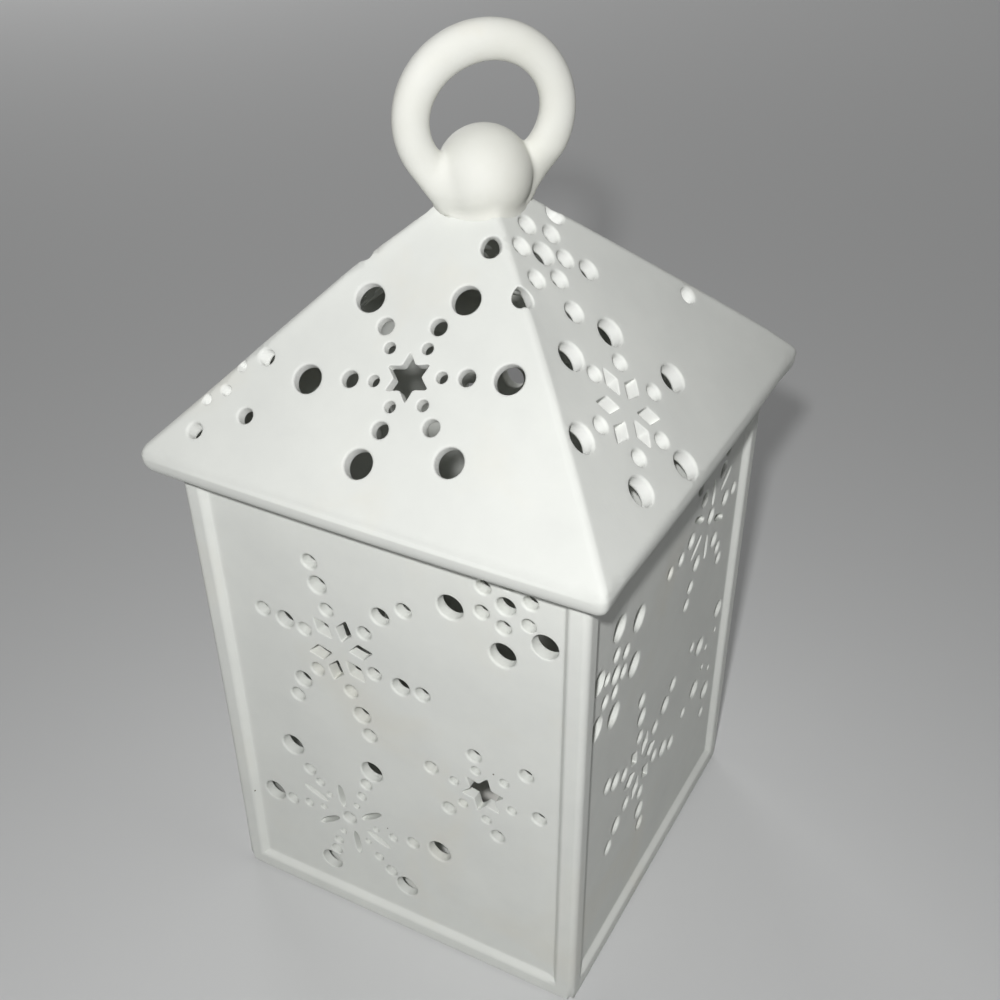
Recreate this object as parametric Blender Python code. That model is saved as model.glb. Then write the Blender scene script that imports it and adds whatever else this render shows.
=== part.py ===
"""White pierced ceramic lantern: a square body with pierced snowflake walls, a loose
pyramid roof with a ball and a ring handle, and a tealight inside. Metres, +Z up, the
front wall faces -Y and the origin is at the centre of the base."""

import math

import bmesh
import bpy
from mathutils import Matrix, Vector

MM = 0.001
GAP = 0.3                 # slip seam or clearance between neighbouring pieces

# body
BASE_HALF = 55.0          # half width over the frame at the table
TOP_HALF = 56.6           # half width over the frame at the rim, wider for mould draft
BODY_HEIGHT = 143.0
FLOOR_THICKNESS = 4.0
RECESS = 1.8              # how far the panels sit behind the frame
PANEL_THICKNESS = 3.0
FRAME_FLAT = 4.4          # flat width of a post or rail
FRAME_WIDTH = 6.9         # flat plus bevel
ARRIS = 1.2               # broken outer edge of a post
RAIL_FLAT = 4.3
RAIL_TOP = 6.3
FOOT_ARRIS = 0.8

# roof
APEX_Z = 211.5            # where the four slopes would meet
EAVE_HALF = 62.9
SLOPE = 0.977             # drop of the roof per unit of run
SLAB_THICKNESS = 3.0
NOSE_RADIUS = 7.0         # round from the slope over the eave's edge
NOSE_FOOT = 2.0           # small round under that edge
EAVE_Z = BODY_HEIGHT + GAP
EAVE_TOP = 152.6
SLAB_TOP = 200.5
EAVE_INNER_HALF = 45.2
LIP_OUTER_HALF = 48.5
LIP_THICKNESS = 3.0
LIP_DEPTH = 5.0

# finial and ring, the ring lies in the plane of the left and right hips
BALL_RADIUS = 11.4
BALL_Z = 211.0
RING_CENTRE_Z = 224.1
RING_RADIUS = 17.5
RING_TUBE = 4.4           # half thickness in the ring's plane
RING_TUBE_SIDE = 3.6      # half thickness across it
RING_ASIDE = 0.5          # the ring stands a little off the ball's axis
RING_LEG_ANGLE = 26.6     # degrees below level where the arc turns into a straight leg
RING_FOOT_Z = 204.0

# tealight
CUP_RADIUS = 19.0
CUP_HEIGHT = 16.0
CUP_WALL = 0.6
WAX_HEIGHT = 11.5
WICK_RADIUS = 0.9
WICK_ABOVE_WAX = 6.0
SUSTAINER_RADIUS = 6.5
SUSTAINER_THICKNESS = 0.5

# Each flake: the centre opening, the openings between the arms, and rows of round holes
# along the arms as (distance from the centre, diameter, sides).
STAR_FLAKE = {"star": (6.2, 3.4), "rows": ((8.5, 2.9, 6), (14.3, 4.2, 8), (23.8, 7.2, 10))}
SMALL_STAR_FLAKE = {"star": (5.8, 2.8), "rows": ((8.7, 2.7, 6), (15.4, 4.0, 8))}
DIAMOND_FLAKE = {"diamond": (7.2, 6.2, 3.8), "rows": ((12.1, 4.0, 6), (19.7, 5.2, 8), (26.6, 4.3, 8))}
ROOF_DIAMOND_FLAKE = {"diamond": (7.1, 5.6, 3.7), "rows": ((12.1, 4.2, 8), (20.7, 7.4, 10))}
ROUND_FLAKE = {"centre": 5.0, "rows": ((7.0, 3.9, 8), (15.3, 7.0, 10))}
APEX_FLAKE = {"centre": 6.0, "rows": ((7.7, 4.8, 8), (15.6, 5.4, 8))}
SIDE_FLAKE = {"centre": 5.6, "rows": ((6.9, 4.4, 8), (13.8, 5.2, 8))}
HIP_FLAKE = {"rows": ((6.5, 2.6, 6), (14.4, 3.9, 8))}
PETAL_FLAKE = {"centre": 4.2, "petal": (9.6, 7.6, 1.8),
               "rows": ((8.3, 1.5, 6), (13.6, 2.4, 6), (19.7, 3.6, 6), (26.4, 6.8, 10))}
LONG_PETAL_FLAKE = {"centre": 4.6, "petal": (9.4, 8.4, 2.2),
                    "rows": ((12.7, 4.4, 8), (19.2, 3.7, 6), (25.2, 3.6, 6))}
EDGE_FLAKE = {"rows": ((7.0, 1.8, 6), (15.5, 5.6, 8), (24.0, 3.2, 6))}

# Placed on the walls: flake, across, height, turn in degrees. Opposite walls match.
FRONT_FLAKES = ((DIAMOND_FLAKE, -13.6, 98.4, 46), (ROUND_FLAKE, 35.0, 132.4, 25),
                (PETAL_FLAKE, -16.5, 35.4, 7), (SMALL_STAR_FLAKE, 27.2, 66.4, 47))
SIDE_FLAKES = ((ROUND_FLAKE, -33.1, 103.2, 32), (DIAMOND_FLAKE, -10.3, 51.5, 33),
               (LONG_PETAL_FLAKE, 26.0, 112.3, 1), (EDGE_FLAKE, 43.5, 53.0, 20))
# Placed on the roof: face (0 front, 1 right, 2 back, 3 left), flake, across, distance
# down the slope from the apex, turn. A flake near a hip carries on over it.
ROOF_FLAKES = ((0, STAR_FLAKE, 1.0, 52.9, -15), (0, HIP_FLAKE, -49.6, 64.6, 30),
               (1, APEX_FLAKE, -3.6, 24.1, 41), (1, ROOF_DIAMOND_FLAKE, -15.6, 63.5, 13),
               (2, APEX_FLAKE, -28.3, 60.4, 36), (2, ROOF_DIAMOND_FLAKE, 19.0, 61.0, 30),
               (2, SIDE_FLAKE, 0.0, 28.0, 0),
               (3, SIDE_FLAKE, 6.0, 33.0, -17), (3, ROOF_DIAMOND_FLAKE, -17.0, 67.5, 13))

# Where the holes were really pierced by hand: centres on each face. The holes of the
# regular flakes move onto these, and the rest follow their neighbours.
PIERCED = {
    "front_back": (
        (-19, 104.6), (-12.5, 105.8), (-7.8, 100.7), (-10, 93.4), (-16.3, 91.4), (-20.6, 95.9),
        (-17.3, 111.1), (-6.2, 107.7), (-4.2, 94.8), (-12.2, 85.5), (-22.4, 89.2), (-25.1, 101.9),
        (-19.2, 118.5), (-0.9, 115.1), (3.7, 93.7), (-9.4, 78.1), (-27.6, 83.5), (-31.1, 102.9),
        (-20.8, 125.3), (6.2, 119.7), (10.1, 93.8), (-8.7, 70.3), (-30.1, 77.1), (-38, 104), (28.1, 127.8),
        (33.9, 125.3), (40.5, 128.5), (40.9, 135.3), (28.7, 135.4), (19.5, 125.9), (33.5, 116.6),
        (45.9, 123.8), (-27.8, 40.3), (-19, 43.1), (-24, 31.2), (-9.3, 39.6), (-14.9, 26.4), (-7.2, 31.3),
        (-29.3, 48.9), (-36.7, 33.7), (-10.9, 50.8), (-2.2, 34.7), (4.2, 35.9), (-7.7, 24), (-3.7, 20.2),
        (-34.3, 56.2), (-43, 34), (-7.9, 57.7), (-24.6, 14.1), (1.3, 16.4), (12.8, 37.1), (25, 74.1),
        (33.3, 73.7), (35.5, 64.8), (27.9, 57.5), (20.9, 60.2), (18.4, 67.2), (24.7, 79.2), (39.7, 79.4),
        (43.4, 65.9), (31.2, 52.9), (16.5, 56), (11.5, 68.7)
    ),
    "sides": (
        (-33.5, 117.9), (-20.6, 111.6), (-21.5, 97.2), (-33.4, 89.5), (-44.5, 109), (-45.1, 93.9),
        (-27.8, 106.3), (-34.2, 109.9), (-28.8, 100.5), (-39.6, 106.4), (-33.8, 97.6), (-39.9, 99.2),
        (-13.2, 77.7), (-12.2, 71), (-12.4, 63.7), (11.1, 64.3), (6, 60.5), (-0.8, 57.6), (-22.3, 58.1),
        (-28.7, 61.6), (-34.1, 64.8), (-19.8, 44.9), (-26.2, 42.3), (-31, 38.2), (-8.8, 32), (-7.8, 25.6),
        (-0.5, 112.1), (7.1, 111.6), (13.9, 113.2), (20.2, 101.6), (33.2, 101.4), (37, 96.2), (39.1, 91.2),
        (17.2, 95.3), (15.4, 90.2), (28.3, 120.3), (39, 112.3), (45.5, 111.8), (50.6, 111.2),
        (37.7, 119.8), (26.9, 76.5), (31.9, 68.7), (45.5, 57.4), (36, 51.8), (30.6, 46.8), (40.9, 38.5),
        (24, 39.9), (39.5, 30.3)
    ),
    "roof_front": (
        (8.7, 51), (2.7, 45.3), (-6.7, 47.3), (-7.6, 55.8), (-1.3, 60.7), (6.6, 58.4), (14.7, 49.6),
        (3.4, 39.7), (-9.8, 42.5), (-13.8, 56.8), (-1.6, 66.5), (10.5, 62.8), (24.6, 47.6), (7.6, 32),
        (-16.3, 36.8), (-24.6, 59.5), (-3.9, 75.4), (17.7, 69.3), (-37, 57.1), (-42.7, 60.9),
        (-44.7, 67.5), (-49.1, 71), (-37.2, 72.1), (-49.3, 79), (8.9, 18.4)
    ),
    "roof_right": (
        (-0.6, 16.4), (4.7, 21.6), (2.7, 28.2), (-4.4, 31), (-11.5, 27.6), (-7.9, 19.5), (11.3, 18.4),
        (7.4, 33.8), (-8.1, 39), (-20.2, 28.9), (-13.9, 56.7), (-9.5, 61.4), (-10.9, 68.7), (-17.2, 70.4),
        (-23.2, 66.4), (-20.6, 59.8), (-17.2, 52.6), (-6.6, 55), (-3.3, 65.8), (-12.8, 75), (-23.8, 73.4),
        (-27.5, 61.7), (-19.9, 45.9), (-1.9, 48.3), (6.7, 66.9), (-11.6, 83.8), (-30.8, 78.8),
        (-36.1, 60.4), (35.2, 55.2)
    ),
}
SETTLE_REACH = (1.6, 0.84)     # how far a hole may move, and how much more per half size
CLEAR_OF_POST = 1.6            # a hole this far over its post's edge is drawn in, not left out

BISQUE = ((0.83, 0.83, 0.80), 0.75, 0.0)
FINIAL_BISQUE = ((0.82, 0.80, 0.72), 0.7, 0.0)
ALUMINIUM = ((0.80, 0.80, 0.81), 0.35, 1.0)
WAX = ((0.90, 0.89, 0.84), 0.45, 0.0)
COTTON = ((0.85, 0.82, 0.74), 0.9, 0.0)

FACE_TURN = math.atan(1.0 / math.hypot(1.0, SLOPE))   # half the angle of a roof face at the apex


def clear_scene():
    for obj in list(bpy.data.objects):
        bpy.data.objects.remove(obj)


def material(name, look):
    mat = bpy.data.materials.get(name)
    if mat is None:
        mat = bpy.data.materials.new(name)
        mat.use_nodes = True
        shader = mat.node_tree.nodes["Principled BSDF"]
        colour, roughness, metallic = look
        shader.inputs["Base Color"].default_value = (*colour, 1.0)
        shader.inputs["Roughness"].default_value = roughness
        shader.inputs["Metallic"].default_value = metallic
    return mat


def mesh_object(name, points, faces, look=None, parent=None):
    """A closed mesh from points in millimetres, with its normals turned outwards."""
    mesh = bpy.data.meshes.new(name)
    mesh.from_pydata([Vector(p) * MM for p in points], [], faces)
    work = bmesh.new()
    work.from_mesh(mesh)
    bmesh.ops.recalc_face_normals(work, faces=work.faces)
    work.to_mesh(mesh)
    work.free()
    obj = bpy.data.objects.new(name, mesh)
    bpy.context.scene.collection.objects.link(obj)
    if look:
        obj.data.materials.append(material(name, look))
    if parent:
        obj.parent = parent
        obj.data.transform(Matrix.Translation(-parent.location))
    return obj


def joint_empty(name, z):
    empty = bpy.data.objects.new(name, None)
    empty.location = (0.0, 0.0, z * MM)
    bpy.context.scene.collection.objects.link(empty)
    return empty


def loft(rings, closed_ends=True):
    """Points and faces joining rings of equal point counts."""
    count = len(rings[0])
    points = [p for ring in rings for p in ring]
    faces = []
    for r in range(len(rings) - 1):
        for i in range(count):
            j = (i + 1) % count
            faces.append((r * count + i, r * count + j, (r + 1) * count + j, (r + 1) * count + i))
    if closed_ends:
        faces.append(tuple(range(count)))
        faces.append(tuple((len(rings) - 1) * count + i for i in range(count)))
    return points, faces


def quarter_turn(point, index):
    x, y, z = point
    for _ in range(index % 4):
        x, y = -y, x
    return (x, y, z)


def body_half(z):
    return BASE_HALF + (TOP_HALF - BASE_HALF) * z / BODY_HEIGHT


def polygon(across, up, diameter, sides, turn):
    step = 2 * math.pi / sides
    return [(across + diameter / 2 * math.cos(turn + (k + 0.5) * step),
             up + diameter / 2 * math.sin(turn + (k + 0.5) * step)) for k in range(sides)]


def flake_openings(flake, across, up, turn_degrees):
    """Outlines of one flake's openings, with the centre and half size of each."""
    turn = math.radians(turn_degrees)
    found = []
    if "centre" in flake:
        found.append((polygon(across, up, flake["centre"], 8, turn), across, up, flake["centre"] / 2))
    if "star" in flake:
        tip, dent = flake["star"]
        star = []
        for k in range(12):
            reach = tip if k % 2 else dent
            angle = turn + k * math.pi / 6
            star.append((across + reach * math.cos(angle), up + reach * math.sin(angle)))
        found.append((star, across, up, tip))
    for arm in range(6):
        angle = turn + arm * math.pi / 3
        for distance, diameter, sides in flake["rows"]:
            u = across + distance * math.cos(angle)
            v = up + distance * math.sin(angle)
            found.append((polygon(u, v, diameter, sides, angle), u, v, diameter / 2))
        between = angle + math.pi / 6
        for kind in ("diamond", "petal"):
            if kind not in flake:
                continue
            distance, length, width = flake[kind]
            steps = 4 if kind == "diamond" else 6
            lens = []
            for k in range(steps):
                t = 2 * math.pi * k / steps
                along = length / 2 * math.cos(t) + distance
                wide = width / 2 * math.sin(t)
                lens.append((across + along * math.cos(between) - wide * math.sin(between),
                             up + along * math.sin(between) + wide * math.cos(between)))
            found.append((lens, across + distance * math.cos(between),
                          up + distance * math.sin(between), length / 2))
    return found


def settled(openings, centres):
    """The openings moved onto the pierced centres, largest first; the rest follow their neighbours."""
    free = list(centres)
    paired = {}
    for i in sorted(range(len(openings)), key=lambda k: -openings[k][3]):
        _, u, v, reach = openings[i]
        if not free:
            break
        near = min(free, key=lambda c: math.hypot(c[0] - u, c[1] - v))
        if math.hypot(near[0] - u, near[1] - v) < SETTLE_REACH[0] + SETTLE_REACH[1] * reach:
            paired[i] = (near[0] - u, near[1] - v)
            free.remove(near)
    out = []
    for i, (outline, u, v, reach) in enumerate(openings):
        if i in paired:
            across, up = paired[i]
        else:
            total, across, up = 0.05, 0.0, 0.0
            for k, move in paired.items():
                gap = math.hypot(openings[k][1] - u, openings[k][2] - v)
                weight = math.exp(-(gap / 7.0) ** 2)
                total += weight
                across += weight * move[0]
                up += weight * move[1]
            across, up = across / total, up / total
        out.append(([(a + across, b + up) for a, b in outline], u + across, v + up, reach))
    return out


def cut(obj, outlines, place):
    """Cuts prisms through obj; place turns an outline point and a depth into a position."""
    points = []
    faces = []
    for outline in outlines:
        part_points, part_faces = loft([[place(u, v, depth) for u, v in outline] for depth in (-6.0, 12.0)])
        faces += [tuple(i + len(points) for i in face) for face in part_faces]
        points += part_points
    cutter = mesh_object(obj.name + "_cutter", points, faces)
    cutter.hide_render = True
    cutter.display_type = "WIRE"
    if obj.parent:
        cutter.parent = obj.parent
        cutter.data.transform(Matrix.Translation(-obj.parent.location))
    pierce = obj.modifiers.new("pierce", "BOOLEAN")
    pierce.object = cutter
    pierce.operation = "DIFFERENCE"
    pierce.solver = "EXACT"


def floor():
    half = BASE_HALF - FRAME_FLAT - GAP
    rings = [[(x, y, z) for x, y in ((-half, -half), (half, -half), (half, half), (-half, half))]
             for z in (0.0, FLOOR_THICKNESS)]
    return mesh_object("floor_slab", *loft(rings), BISQUE)


def wall(side, index):
    low = RAIL_TOP + GAP
    rings = []
    for z in (low, BODY_HEIGHT):
        edge = body_half(z) - FRAME_WIDTH - GAP
        front = -(body_half(z) - RECESS)
        back = front + PANEL_THICKNESS
        ring = ((-edge, front), (edge, front), (edge, back), (-edge, back))
        rings.append([quarter_turn((x, y, z), index) for x, y in ring])
    obj = mesh_object("wall_" + side, *loft(rings), BISQUE)
    openings = []
    for flake, across, up, turn in (SIDE_FLAKES if index % 2 else FRONT_FLAKES):
        openings += flake_openings(flake, across, up, turn)
    outlines = []
    for outline, u, v, reach in settled(openings, PIERCED["sides" if index % 2 else "front_back"]):
        over = abs(u) + reach - (body_half(v) - FRAME_WIDTH - 1.0)
        if 0 < over < CLEAR_OF_POST:
            outline = [(a - math.copysign(over, u), b) for a, b in outline]
        if over < CLEAR_OF_POST and low + 1.0 < v - reach and v + reach < BODY_HEIGHT - 1.2:
            outlines.append(outline)
    face = BASE_HALF - RECESS
    cut(obj, outlines, lambda u, v, depth: quarter_turn((u, depth - face, v), index))
    return obj


def post(side, index):
    flat, wide = FRAME_FLAT, FRAME_WIDTH
    foot = ((ARRIS, 0), (flat, 0), (flat, RECESS), (flat, flat), (RECESS, flat), (0, flat), (0, ARRIS))
    full = ((ARRIS, 0), (flat, 0), (wide, RECESS), (wide, wide), (RECESS, wide), (0, flat), (0, ARRIS))
    rings = []
    for z, outline in ((0.0, foot), (RAIL_FLAT, foot), (RAIL_TOP, full), (BODY_HEIGHT, full)):
        half = body_half(z)
        rings.append([quarter_turn((half - p, -(half - q), z), index) for p, q in outline])
    points, faces = loft(rings)
    # the two twisted faces of the flare are split along the mitre line
    split = {(1, 1): 0, (1, 4): 1}
    count = len(foot)
    out = []
    for face in faces:
        ring, first = divmod(face[0], count)
        turn = split.get((ring, first))
        if len(face) == 4 and turn is not None:
            a, b, c, d = face
            out += [(a, b, c), (a, c, d)] if turn == 0 else [(a, b, d), (b, c, d)]
        else:
            out.append(face)
    return mesh_object("post_" + side, points, out, BISQUE)


def rail(side, index):
    deep = FRAME_FLAT - GAP
    profile = ((0, FOOT_ARRIS), (FOOT_ARRIS, 0), (deep, 0), (deep, RAIL_FLAT),
               (deep, RAIL_TOP), (RECESS, RAIL_TOP), (0, RAIL_FLAT))
    rings = []
    for way in (-1, 1):
        ring = []
        for depth, z in profile:
            inset = FRAME_WIDTH if z > RAIL_FLAT else FRAME_FLAT
            half = body_half(z)
            ring.append(quarter_turn((way * (half - inset - GAP), depth - half, z), index))
        rings.append(ring)
    points, faces = loft(rings)
    # each end is a plumb face below and a mitre above, and the back is bent between them
    faces = faces[:-2]
    for base in (0, len(profile)):
        faces.append(tuple(base + i for i in (0, 1, 2, 3, 6)))
        faces.append(tuple(base + i for i in (6, 3, 4, 5)))
    return mesh_object("rail_" + side, points, faces, BISQUE)


def roof_point(u, v, depth, index):
    """A point v down the slope and u across, depth below the roof's outer face."""
    length = math.hypot(1.0, SLOPE)
    run = v / length - depth * SLOPE / length
    z = APEX_Z - v * SLOPE / length - depth / length
    return quarter_turn((u, -run, z), index)


def unfolded(u, v, face):
    """A point of a roof face on the roof laid out flat round its apex, the front face in the middle."""
    far = math.hypot(u, v)
    angle = math.atan2(u, v) + 2 * FACE_TURN * face
    return (far * math.sin(angle), far * math.cos(angle))


def folded(a, b, face):
    angle = math.atan2(a, b)
    if angle < -3.5 * FACE_TURN:
        angle += 2 * math.pi
    return math.hypot(a, b), angle - 2 * FACE_TURN * face


def roof_outlines():
    """Openings for each roof face, with flakes that reach a hip carried over it."""
    drawn = []
    for home, flake, across, down, turn in ROOF_FLAKES:
        face = home if home < 3 else -1
        for outline, u, v, reach in flake_openings(flake, across, down, turn):
            drawn.append(([unfolded(a, b, face) for a, b in outline], *unfolded(u, v, face), reach))
    centres = [unfolded(u, v, face) for face, key in enumerate(("roof_front", "roof_right"))
               for u, v in PIERCED[key]]
    faces = [[], [], [], []]
    fall = SLOPE / math.hypot(1.0, SLOPE)
    for outline, a, b, reach in settled(drawn, centres):
        for face in range(-2, 4):
            far, local = folded(a, b, face)
            away = abs(local) - FACE_TURN
            if away > 0 and (away > FACE_TURN or far * math.sin(away) > reach * 0.9):
                continue
            bent = []
            for p, q in outline:
                far, local = folded(p, q, face)
                bent.append((far * math.sin(local), far * math.cos(local)))
            low = max(v for _, v in bent) * fall
            high = min(v for _, v in bent) * fall
            if APEX_Z - low > EAVE_TOP + 1.2 and APEX_Z - high < SLAB_TOP - 0.8:
                faces[face % 4].append(bent)
    return faces


def roof_slab(side, index, outlines, parent):
    rings = []
    rise = SLAB_THICKNESS * math.hypot(1.0, SLOPE)
    for z in (EAVE_TOP + GAP, SLAB_TOP):
        outer = (APEX_Z - z) / SLOPE
        inner = (APEX_Z - rise - z) / SLOPE
        ring = ((-outer + GAP / 2, -outer), (outer - GAP / 2, -outer),
                (inner - GAP / 2, -inner), (-inner + GAP / 2, -inner))
        rings.append([quarter_turn((x, y, z), index) for x, y in ring])
    obj = mesh_object("roof_" + side, *loft(rings), BISQUE, parent)
    cut(obj, outlines, lambda u, v, depth: roof_point(u, v, depth, index))
    return obj


def mitred_bar(name, profile, index, parent):
    rings = []
    for way in (-1, 1):
        rings.append([quarter_turn((way * (half - GAP / 2), -half, z), index) for half, z in profile])
    return mesh_object(name, *loft(rings), BISQUE, parent)


def eave(side, index, parent):
    # a small round under the edge, a short upright face, and a broad round that meets the slope
    nose_half = EAVE_HALF - NOSE_RADIUS
    nose_z = APEX_Z - SLOPE * nose_half - NOSE_RADIUS * math.hypot(1.0, SLOPE)
    meet = math.degrees(math.atan(1.0 / SLOPE))
    profile = [(EAVE_INNER_HALF, EAVE_Z)]
    for degrees in (-90, -45, 0):
        angle = math.radians(degrees)
        profile.append((EAVE_HALF - NOSE_FOOT + NOSE_FOOT * math.cos(angle),
                        EAVE_Z + NOSE_FOOT + NOSE_FOOT * math.sin(angle)))
    for degrees in (0, meet / 3, meet * 2 / 3, meet):
        angle = math.radians(degrees)
        profile.append((nose_half + NOSE_RADIUS * math.cos(angle), nose_z + NOSE_RADIUS * math.sin(angle)))
    top_outer = (APEX_Z - EAVE_TOP) / SLOPE
    top_inner = top_outer - SLAB_THICKNESS * math.hypot(1.0, SLOPE) / SLOPE
    profile += [(top_outer, EAVE_TOP), (top_inner, EAVE_TOP), (EAVE_INNER_HALF, EAVE_Z + 3.0)]
    return mitred_bar("eave_" + side, profile, index, parent)


def lip(side, index, parent):
    top = EAVE_Z - GAP
    outer, inner = LIP_OUTER_HALF, LIP_OUTER_HALF - LIP_THICKNESS
    profile = [(inner, top - LIP_DEPTH), (outer - 0.8, top - LIP_DEPTH), (outer, top - LIP_DEPTH + 0.8),
               (outer, top), (inner, top)]
    return mitred_bar("lip_" + side, profile, index, parent)


def ball_rings(radius, skirt_grow):
    """A sphere and the tip of the roof under it, as two closed lofts."""
    rings = []
    for k in range(1, 12):
        angle = math.pi * (k / 12 - 0.5)
        rings.append([(radius * math.cos(angle) * math.cos(a * math.pi / 10),
                       radius * math.cos(angle) * math.sin(a * math.pi / 10),
                       BALL_Z + radius * math.sin(angle)) for a in range(20)])
    skirt = []
    for z in (SLAB_TOP + GAP - skirt_grow, APEX_Z - 2.0):
        half = (APEX_Z + 1.4 * skirt_grow - z) / SLOPE
        skirt.append([(-half, -half, z), (half, -half, z), (half, half, z), (-half, half, z)])
    return loft(rings), loft(skirt)


def joined(name, ball, skirt, look=None, parent=None):
    obj = mesh_object(name, *ball, look, parent)
    tip = mesh_object(name + "_tip", *skirt)
    if parent:
        tip.parent = parent
        tip.data.transform(Matrix.Translation(-parent.location))
    tip.hide_render = True
    tip.display_type = "WIRE"
    join = obj.modifiers.new("tip", "BOOLEAN")
    join.object = tip
    join.operation = "UNION"
    join.solver = "EXACT"
    return obj


def finial(parent):
    return joined("finial_ball", *ball_rings(BALL_RADIUS, 0.0), FINIAL_BISQUE, parent)


def ring_path():
    """The ring's centre line in its own plane, from one foot over the top to the other."""
    leg = math.radians(RING_LEG_ANGLE)
    arc = []
    for k in range(25):
        angle = -leg + (math.pi + 2 * leg) * k / 24
        arc.append((RING_RADIUS * math.cos(angle), RING_CENTRE_Z + RING_RADIUS * math.sin(angle)))
    fall = arc[0][1] - RING_FOOT_Z
    foot = (arc[0][0] - fall * math.tan(leg), RING_FOOT_Z)
    return [foot] + arc + [(-foot[0], foot[1])]


def ring(parent):
    path = ring_path()
    rings = []
    for i, (s, z) in enumerate(path):
        before = path[max(i - 1, 0)]
        after = path[min(i + 1, len(path) - 1)]
        along = Vector((after[0] - before[0], after[1] - before[1])).normalized()
        out = Vector((along[1], -along[0]))
        loop = []
        for k in range(12):
            angle = k * math.pi / 6
            reach = RING_TUBE * math.cos(angle)
            side = RING_ASIDE + RING_TUBE_SIDE * math.sin(angle)
            a = (s + out[0] * reach) * math.sqrt(0.5)
            b = side * math.sqrt(0.5)
            loop.append((a + b, a - b, z + out[1] * reach))
        rings.append(loop)
    obj = mesh_object("ring_handle", *loft(rings), FINIAL_BISQUE, parent)
    seat = joined("ring_seat_cutter", *ball_rings(BALL_RADIUS + GAP, GAP), None, parent)
    seat.hide_render = True
    seat.display_type = "WIRE"
    trim = obj.modifiers.new("seat", "BOOLEAN")
    trim.object = seat
    trim.operation = "DIFFERENCE"
    trim.solver = "EXACT"
    return obj


def turned(name, profile, sides, look, parent):
    """A solid turned about Z from a closed profile of (radius, height), none on the axis."""
    rings = []
    for k in range(sides):
        angle = 2 * math.pi * k / sides
        rings.append([(r * math.cos(angle), r * math.sin(angle), z) for r, z in profile])
    points, faces = loft(rings, closed_ends=False)
    count = len(profile)
    last = (sides - 1) * count
    for i in range(count):
        j = (i + 1) % count
        faces.append((last + i, last + j, j, i))
    return mesh_object(name, points, faces, look, parent)


def capped(name, outline, sides, look, parent):
    """A solid turned about Z from an open outline of (radius, height), capped at both ends."""
    rings = []
    for r, z in outline:
        rings.append([(r * math.cos(2 * math.pi * k / sides), r * math.sin(2 * math.pi * k / sides), z)
                      for k in range(sides)])
    return mesh_object(name, *loft(rings), look, parent)


def tealight(parent):
    base = FLOOR_THICKNESS + GAP
    top = base + CUP_HEIGHT
    inner = CUP_RADIUS - CUP_WALL
    cup = [(CUP_RADIUS - 1.0, base), (CUP_RADIUS, base + 1.0), (CUP_RADIUS, top),
           (inner, top), (inner, base + 1.4), (inner - 0.8, base + CUP_WALL)]
    capped("tealight_cup", cup, 36, ALUMINIUM, parent)
    disc_low = base + CUP_WALL + GAP
    disc_top = disc_low + SUSTAINER_THICKNESS
    disc = [(SUSTAINER_RADIUS, disc_low), (SUSTAINER_RADIUS, disc_top)]
    capped("wick_sustainer", disc, 24, ALUMINIUM, parent)
    wax_low = disc_top + GAP
    wax_top = wax_low + WAX_HEIGHT
    bore = WICK_RADIUS + GAP
    turned("tealight_wax", [(bore, wax_low), (inner - GAP, wax_low), (inner - GAP, wax_top - 0.4),
                            (inner - 1.2, wax_top), (bore, wax_top)], 32, WAX, parent)
    capped("wick", [(WICK_RADIUS, wax_low), (WICK_RADIUS, wax_top + WICK_ABOVE_WAX - 0.6),
                    (WICK_RADIUS * 0.6, wax_top + WICK_ABOVE_WAX)], 12, COTTON, parent)


def main():
    clear_scene()
    sides = ("front", "right", "back", "left")
    corners = ("front_right", "back_right", "back_left", "front_left")
    floor()
    for index, side in enumerate(sides):
        wall(side, index)
        rail(side, index)
    for index, corner in enumerate(corners):
        post(corner, index)
    roof = joint_empty("roof_lift", BODY_HEIGHT)
    openings = roof_outlines()
    for index, side in enumerate(sides):
        roof_slab(side, index, openings[index], roof)
        eave(side, index, roof)
        lip(side, index, roof)
    finial(roof)
    ring(roof)
    tealight(joint_empty("tealight_lift", FLOOR_THICKNESS))


main()
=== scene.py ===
import math

import bmesh
import bpy
import numpy as np
from mathutils import Matrix, Vector
from mathutils.geometry import delaunay_2d_cdt


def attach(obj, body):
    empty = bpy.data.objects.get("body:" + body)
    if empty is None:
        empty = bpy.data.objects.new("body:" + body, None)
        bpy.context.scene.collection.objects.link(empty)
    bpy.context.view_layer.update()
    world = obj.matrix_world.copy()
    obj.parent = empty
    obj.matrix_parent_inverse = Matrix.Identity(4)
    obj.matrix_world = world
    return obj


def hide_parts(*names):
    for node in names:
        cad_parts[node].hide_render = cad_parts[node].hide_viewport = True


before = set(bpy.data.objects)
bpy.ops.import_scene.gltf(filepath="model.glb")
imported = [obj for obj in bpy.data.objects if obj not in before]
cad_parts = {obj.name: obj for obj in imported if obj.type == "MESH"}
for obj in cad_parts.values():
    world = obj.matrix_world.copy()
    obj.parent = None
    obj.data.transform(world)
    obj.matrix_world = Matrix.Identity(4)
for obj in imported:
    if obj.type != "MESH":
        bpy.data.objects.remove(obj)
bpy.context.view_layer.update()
mm = 0.001
scene = bpy.context.scene


# camera, at the photo's angle: place, then its right, up and back axes
cameraLook = {
    "place": (0.14894, -0.26639, 0.32473),
    "right": (0.87979, 0.47533, -0.00624),
    "up": (-0.26232, 0.49638, 0.82752),
    "back": (0.39644, -0.72641, 0.56140),
    "lens": 48.619, "sensor": 36.0, "near": 0.01,
}


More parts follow.
